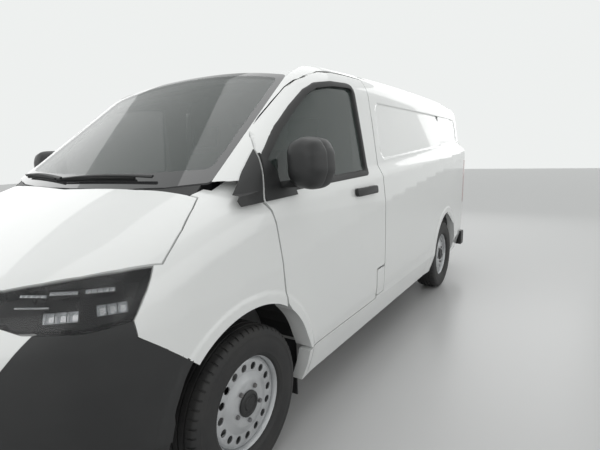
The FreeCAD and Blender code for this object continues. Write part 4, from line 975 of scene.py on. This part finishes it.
bolt_mesh = bpy.data.meshes.new("wheel_bolt")
bolt_work = bmesh.new()
bmesh.ops.create_cone(bolt_work, cap_ends=True, segments=6, radius1=0.0105, radius2=0.0095, depth=0.012)
bolt_work.to_mesh(bolt_mesh)
bolt_work.free()
bolt_mesh.materials.append(bolt_steel)
bolt = bpy.data.objects.new("wheel_bolt", bolt_mesh)
bpy.context.scene.collection.objects.link(bolt)
ring_nodes = bolt_ring(bolt, 5, 0.078)
for end, axle in (("front", FRONT_AXLE_Y), ("rear", REAR_AXLE_Y)):
    for side, out in (("left", 1.0), ("right", -1.0)):
        place = (out * WHEEL_X, axle, WHEEL_RADIUS)
        body = "wheel_%s_%s" % (end, side)
        points = turned(section, tread_turns, place, out, shoulder_slots)
        tyre = solid("tyre_%s_%s_worn" % (end, side), points, tube_faces(len(tread_turns), len(section)),
                     tyre_rubber, body, angle=0.5)
        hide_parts("tyre_%s_%s" % (end, side))
        sheet = [(place[0] + out * u, place[1] + y, place[2] + z) for u, y, z in sheet_points]
        all_points = [np.array(sheet) / 1000.0]
        all_faces = list(sheet_faces)
        for profile in (BARREL, SHOULDER, HUB_DISH):
            start = sum(len(p) for p in all_points)
            all_points.append(turned(profile, rim_turns, place, out))
            all_faces += [tuple(start + i for i in f) for f in tube_faces(len(rim_turns), len(profile))]
        rim = solid("rim_%s_%s_steel" % (end, side), np.concatenate(all_points), all_faces,
                    wheel_silver, body)
        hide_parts("rim_%s_%s" % (end, side))
        cap = turned(CAP, rim_turns, place, out)
        solid("cap_%s_%s" % (end, side), cap, tube_faces(len(rim_turns), len(CAP)),
              black_plastic, body)
        holder = bpy.data.objects.new("bolts", bpy.data.meshes.new("bolts"))
        bpy.context.scene.collection.objects.link(holder)
        holder.modifiers.new("repeat", "NODES").node_group = ring_nodes
        graph = bpy.context.evaluated_depsgraph_get()
        bolts = bpy.data.meshes.new_from_object(holder.evaluated_get(graph))
        bpy.data.objects.remove(holder)
        bolts.transform(Matrix.Rotation(math.pi / 2.0 * out, 4, "Y"))
        seat = Vector((place[0] + out * BOLT_RUN, place[1], place[2])) / 1000.0
        bolts.transform(Matrix.Translation(seat))
        bolts.name = "bolts_%s_%s" % (end, side)
        piece = bpy.data.objects.new(bolts.name, bolts)
        bpy.context.scene.collection.objects.link(piece)
        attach(piece, body)
bpy.data.objects.remove(bolt)
dress(tyre_rubber, "spare_wheel")

# Cabin
# Foam seats under woven cloth on black bases, with separate backs and headrests, and a moulded
# dashboard and steering wheel in dark grained plastic.


def woven(name, colour, second):
    """Cloth with a fine weave in its height and a soft sheen."""
    material = finish(name, colour, second, 0.82, grain=900.0, patch=14.0, height=0.0, sheen=0.35)
    tree = material.node_tree
    place = tree.nodes.new("ShaderNodeTexCoord")
    lines = []
    for axis in ("X", "Z"):
        wave = tree.nodes.new("ShaderNodeTexWave")
        wave.bands_direction = axis
        wave.inputs["Scale"].default_value = 130.0
        join(tree, place.outputs["Object"], wave.inputs["Vector"])
        lines.append(wave.outputs["Fac"])
    bump = tree.nodes.new("ShaderNodeBump")
    bump.inputs["Strength"].default_value = 0.5
    bump.inputs["Distance"].default_value = 0.0006
    join(tree, maths(tree, "MULTIPLY", lines[0], lines[1]), bump.inputs["Height"])
    join(tree, bump.outputs["Normal"], tree.nodes["Principled BSDF"].inputs["Normal"])
    return material


PAD_VOXEL = 0.014
PAD_PRESSURE = 4.0
PAD_LIMIT = 0.022


def stuffed(name, profile, x0, x1, body, shrink=9.0):
    """A foam pad: its block is remeshed, blown up as cloth from inside, and capped to its own space."""
    rim = rounded_path(profile, 30.0, 30.0)
    rim = rim - path_outward(rim) * shrink
    points = [(x / 1000.0, y / 1000.0, z / 1000.0) for x in (x0 + shrink, x1 - shrink) for y, z in rim]
    count = len(rim)
    faces = tube_faces(2, count, closed=False)
    piece = solid(name, np.array(points), faces, seat_cloth, body)
    mesher = piece.modifiers.new("even", "REMESH")
    mesher.mode = "VOXEL"
    mesher.voxel_size = PAD_VOXEL
    softener = piece.modifiers.new("soft", "SMOOTH")
    softener.factor = 0.5
    softener.iterations = 5
    graph = bpy.context.evaluated_depsgraph_get()
    base = bpy.data.meshes.new_from_object(piece.evaluated_get(graph))
    piece.modifiers.clear()
    piece.data = base
    start = np.array([v.co[:] for v in base.vertices])
    end = start
    cloth = piece.modifiers.new("foam", "CLOTH")
    cloth.settings.use_pressure = True
    cloth.settings.uniform_pressure_force = PAD_PRESSURE
    cloth.settings.effector_weights.gravity = 0.0
    cloth.settings.quality = 4
    cloth.point_cache.frame_end = 20
    for step in range(1, 21):
        bpy.context.scene.frame_set(step)
    graph = bpy.context.evaluated_depsgraph_get()
    blown = bpy.data.meshes.new_from_object(piece.evaluated_get(graph))
    piece.modifiers.clear()
    bpy.context.scene.frame_set(1)
    end = np.array([v.co[:] for v in blown.vertices])
    move = end - start
    length = np.maximum(np.linalg.norm(move, axis=1), 1e-9)
    move *= (np.minimum(length, PAD_LIMIT) / length)[:, None]
    low = np.array([min(x0, x1), min(p[0] for p in profile), min(p[1] for p in profile)]) / 1000.0
    high = np.array([max(x0, x1), max(p[0] for p in profile), max(p[1] for p in profile)]) / 1000.0
    base.vertices.foreach_set("co", np.clip(start + move, low, high).ravel())
    base.materials.clear()
    base.materials.append(seat_cloth)
    base.polygons.foreach_set("use_smooth", np.ones(len(base.polygons), dtype=bool))
    base.update()
    return piece


seat_cloth = woven("seat_cloth", (0.045, 0.047, 0.052), (0.07, 0.073, 0.08))
dark_trim = finish("dark_trim", (0.03, 0.031, 0.033), (0.045, 0.046, 0.048), 0.6, grain=700.0, height=0.0003)
SEAT_BASE = ((-0.82, 0.47), (-0.42, 0.47), (-0.42, 0.785), (-0.82, 0.785))
CUSHION = [(-880, 800), (-870, 895), (-400, 870), (-360, 760), (-850, 760)]
BACK = [(-420, 840), (-300, 830), (-150, 1440), (-180, 1480), (-240, 1470), (-420, 960)]
HEADREST = [(-205, 1470), (-165, 1490), (-130, 1640), (-160, 1670), (-215, 1660), (-250, 1520)]
for name, x0, x1, places in (("driver_seat", 160, 680, 1), ("passenger_bench", -760, 90, 2)):
    low, high = (x0 + 40) / 1000.0, (x1 - 40) / 1000.0
    corners = [(x, y, z) for x in (low, high) for y, z in SEAT_BASE]
    base = solid(name + "_base", np.array(corners), tube_faces(2, 4, closed=False), dark_trim, "van_body")
    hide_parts(name)
    share = (x1 - x0) / places
    for i in range(places):
        left = x0 + share * i + 4
        right = x0 + share * (i + 1) - 4
        tag = "%s_%d" % (name, i + 1)
        stuffed(tag + "_cushion", CUSHION, left, right, "van_body")
        stuffed(tag + "_back", BACK, left + 10, right - 10, "van_body")
        middle = (left + right) / 2.0
        stuffed(tag + "_headrest", HEADREST, middle - 120, middle + 120, "van_body", shrink=6.0)
for name in ("dashboard", "steering_column"):
    softened(name, 0.012, dark_trim, segments=3)
dress(dark_trim, "steering_wheel")

# Wipers
# Two black steel arms from the scuttle with rubber blades that lie along the foot of the screen.


def screen_point(x, y, lift):
    z = np.full_like(x, 1300.0)
    for _ in range(14):
        p = np.array([x, y, z])
        rise = upper_form(p + np.array([[0.0], [0.0], [1.0]])) - upper_form(p)
        z = z - (upper_form(p) - lift) / rise
    return np.stack([x, y, z], 1)


def swept(name, spine, wide, high, material, body):
    """A slim bar along a line, rounded on top, as wide and as high as given at each point."""
    run = np.gradient(spine, axis=0)
    run /= np.linalg.norm(run, axis=1)[:, None]
    up = np.array([0.0, -0.6, 0.8])
    across = np.cross(run, up)
    across /= np.linalg.norm(across, axis=1)[:, None]
    rise = np.cross(across, run)
    rows = []
    for u, v in ((-0.5, 0.0), (-0.5, 0.7), (-0.2, 1.0), (0.2, 1.0), (0.5, 0.7), (0.5, 0.0)):
        rows.append(spine + across * u * wide[:, None] + rise * v * high[:, None])
    points = np.stack(rows, 1).reshape(-1, 3) / 1000.0
    solid(name, points, tube_faces(len(spine), 6, closed=False), material, body)


WIPER_LINE = -1658.0
SCREEN_BOW = 0.00019
for name, foot_x, tip_x in (("wiper_left", 520.0, -130.0), ("wiper_right", -150.0, -690.0)):
    t = np.linspace(0.0, 1.0, 24)
    x = foot_x + (tip_x - foot_x) * t
    y = WIPER_LINE + SCREEN_BOW * x * x + 22.0 + 40.0 * t * (1.0 - t)
    arm = screen_point(x, y, 16.0)
    arm[:, 2] += 6.0 * np.sin(math.pi * t)
    swept(name + "_arm", arm, 15.0 - 7.0 * t, 9.0 - 3.0 * t, black_plastic, "van_body")
    t = np.linspace(0.18, 1.12, 28)
    x = foot_x + (tip_x - foot_x) * t
    y = WIPER_LINE + SCREEN_BOW * x * x + 30.0 + 40.0 * t * (1.12 - t)
    blade = screen_point(x, y, 2.5)
    swept(name + "_blade", blade, np.full(28, 9.0), np.full(28, 13.0), rubber, "van_body")

# Studio
# A pale glossy floor under a white sky and five soft lamps, with a camera where the photograph was
# taken. None of it belongs to the van.

floor_paint = bpy.data.materials.new("studio_floor")
floor_paint.use_nodes = True
shader = floor_paint.node_tree.nodes["Principled BSDF"]
shader.inputs["Base Color"].default_value = (0.56, 0.56, 0.56, 1.0)
shader.inputs["Roughness"].default_value = 0.28
bpy.ops.mesh.primitive_plane_add(size=60.0)
ground = bpy.context.object
ground.name = "studio_floor"
ground.data.materials.append(floor_paint)
ground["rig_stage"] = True
world = bpy.data.worlds.new("studio")
bpy.context.scene.world = world
world.use_nodes = True
sky = world.node_tree
back = sky.nodes["Background"]
back.inputs["Color"].default_value = (0.95, 0.97, 0.96, 1.0)
path = sky.nodes.new("ShaderNodeLightPath")
direct = maths(sky, "MAXIMUM", path.outputs["Is Camera Ray"], path.outputs["Is Transmission Ray"])
shown = maths(sky, "MAXIMUM", direct, path.outputs["Is Glossy Ray"])
join(sky, maths(sky, "MULTIPLY_ADD", shown, 0.34, 0.56), back.inputs["Strength"])
LIGHTS = (("top_light", (0.0, 0.0, 5.2), (0.0, 0.0, 0.0), 100.0, (5.0, 9.0)),
          ("left_light", (5.5, -1.0, 2.6), (0.0, 1.35, 0.0), 52.0, (3.0, 8.0)),
          ("front_light", (0.5, -6.5, 3.0), (1.2, 0.0, 0.0), 42.0, (5.0, 3.0)),
          ("rear_light", (0.0, 6.5, 3.2), (-1.2, 0.0, 0.0), 50.0, (5.0, 3.0)),
          ("right_light", (-5.5, 0.0, 2.8), (0.0, -1.35, 0.0), 50.0, (3.0, 8.0)))
for label, place, turn, power, size in LIGHTS:
    lamp = bpy.data.lights.new(label, "AREA")
    lamp.energy = power
    lamp.shape = "RECTANGLE"
    lamp.size, lamp.size_y = size
    holder = bpy.data.objects.new(label, lamp)
    holder.location = place
    holder.rotation_euler = turn
    bpy.context.scene.collection.objects.link(holder)

yaw, pitch, roll = 0.57972, 0.1658, -0.02983
ahead = Vector((-math.sin(yaw) * math.cos(pitch), math.cos(yaw) * math.cos(pitch), -math.sin(pitch)))
flat = Vector((math.cos(yaw), math.sin(yaw), 0.0))
rise = flat.cross(ahead)
right = math.cos(roll) * flat + math.sin(roll) * rise
over = -math.sin(roll) * flat + math.cos(roll) * rise
lens = bpy.data.cameras.new("camera")
lens.sensor_width = 36.0
lens.lens = 25.295
camera = bpy.data.objects.new("camera", lens)
bpy.context.scene.collection.objects.link(camera)
stand = Matrix((right, over, -ahead)).transposed().to_4x4()
stand.translation = Vector((2.0777, -2.7960, 1.4075))
camera.matrix_world = stand
bpy.context.scene.camera = camera
bpy.context.scene.view_settings.view_transform = "Standard"

low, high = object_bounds()
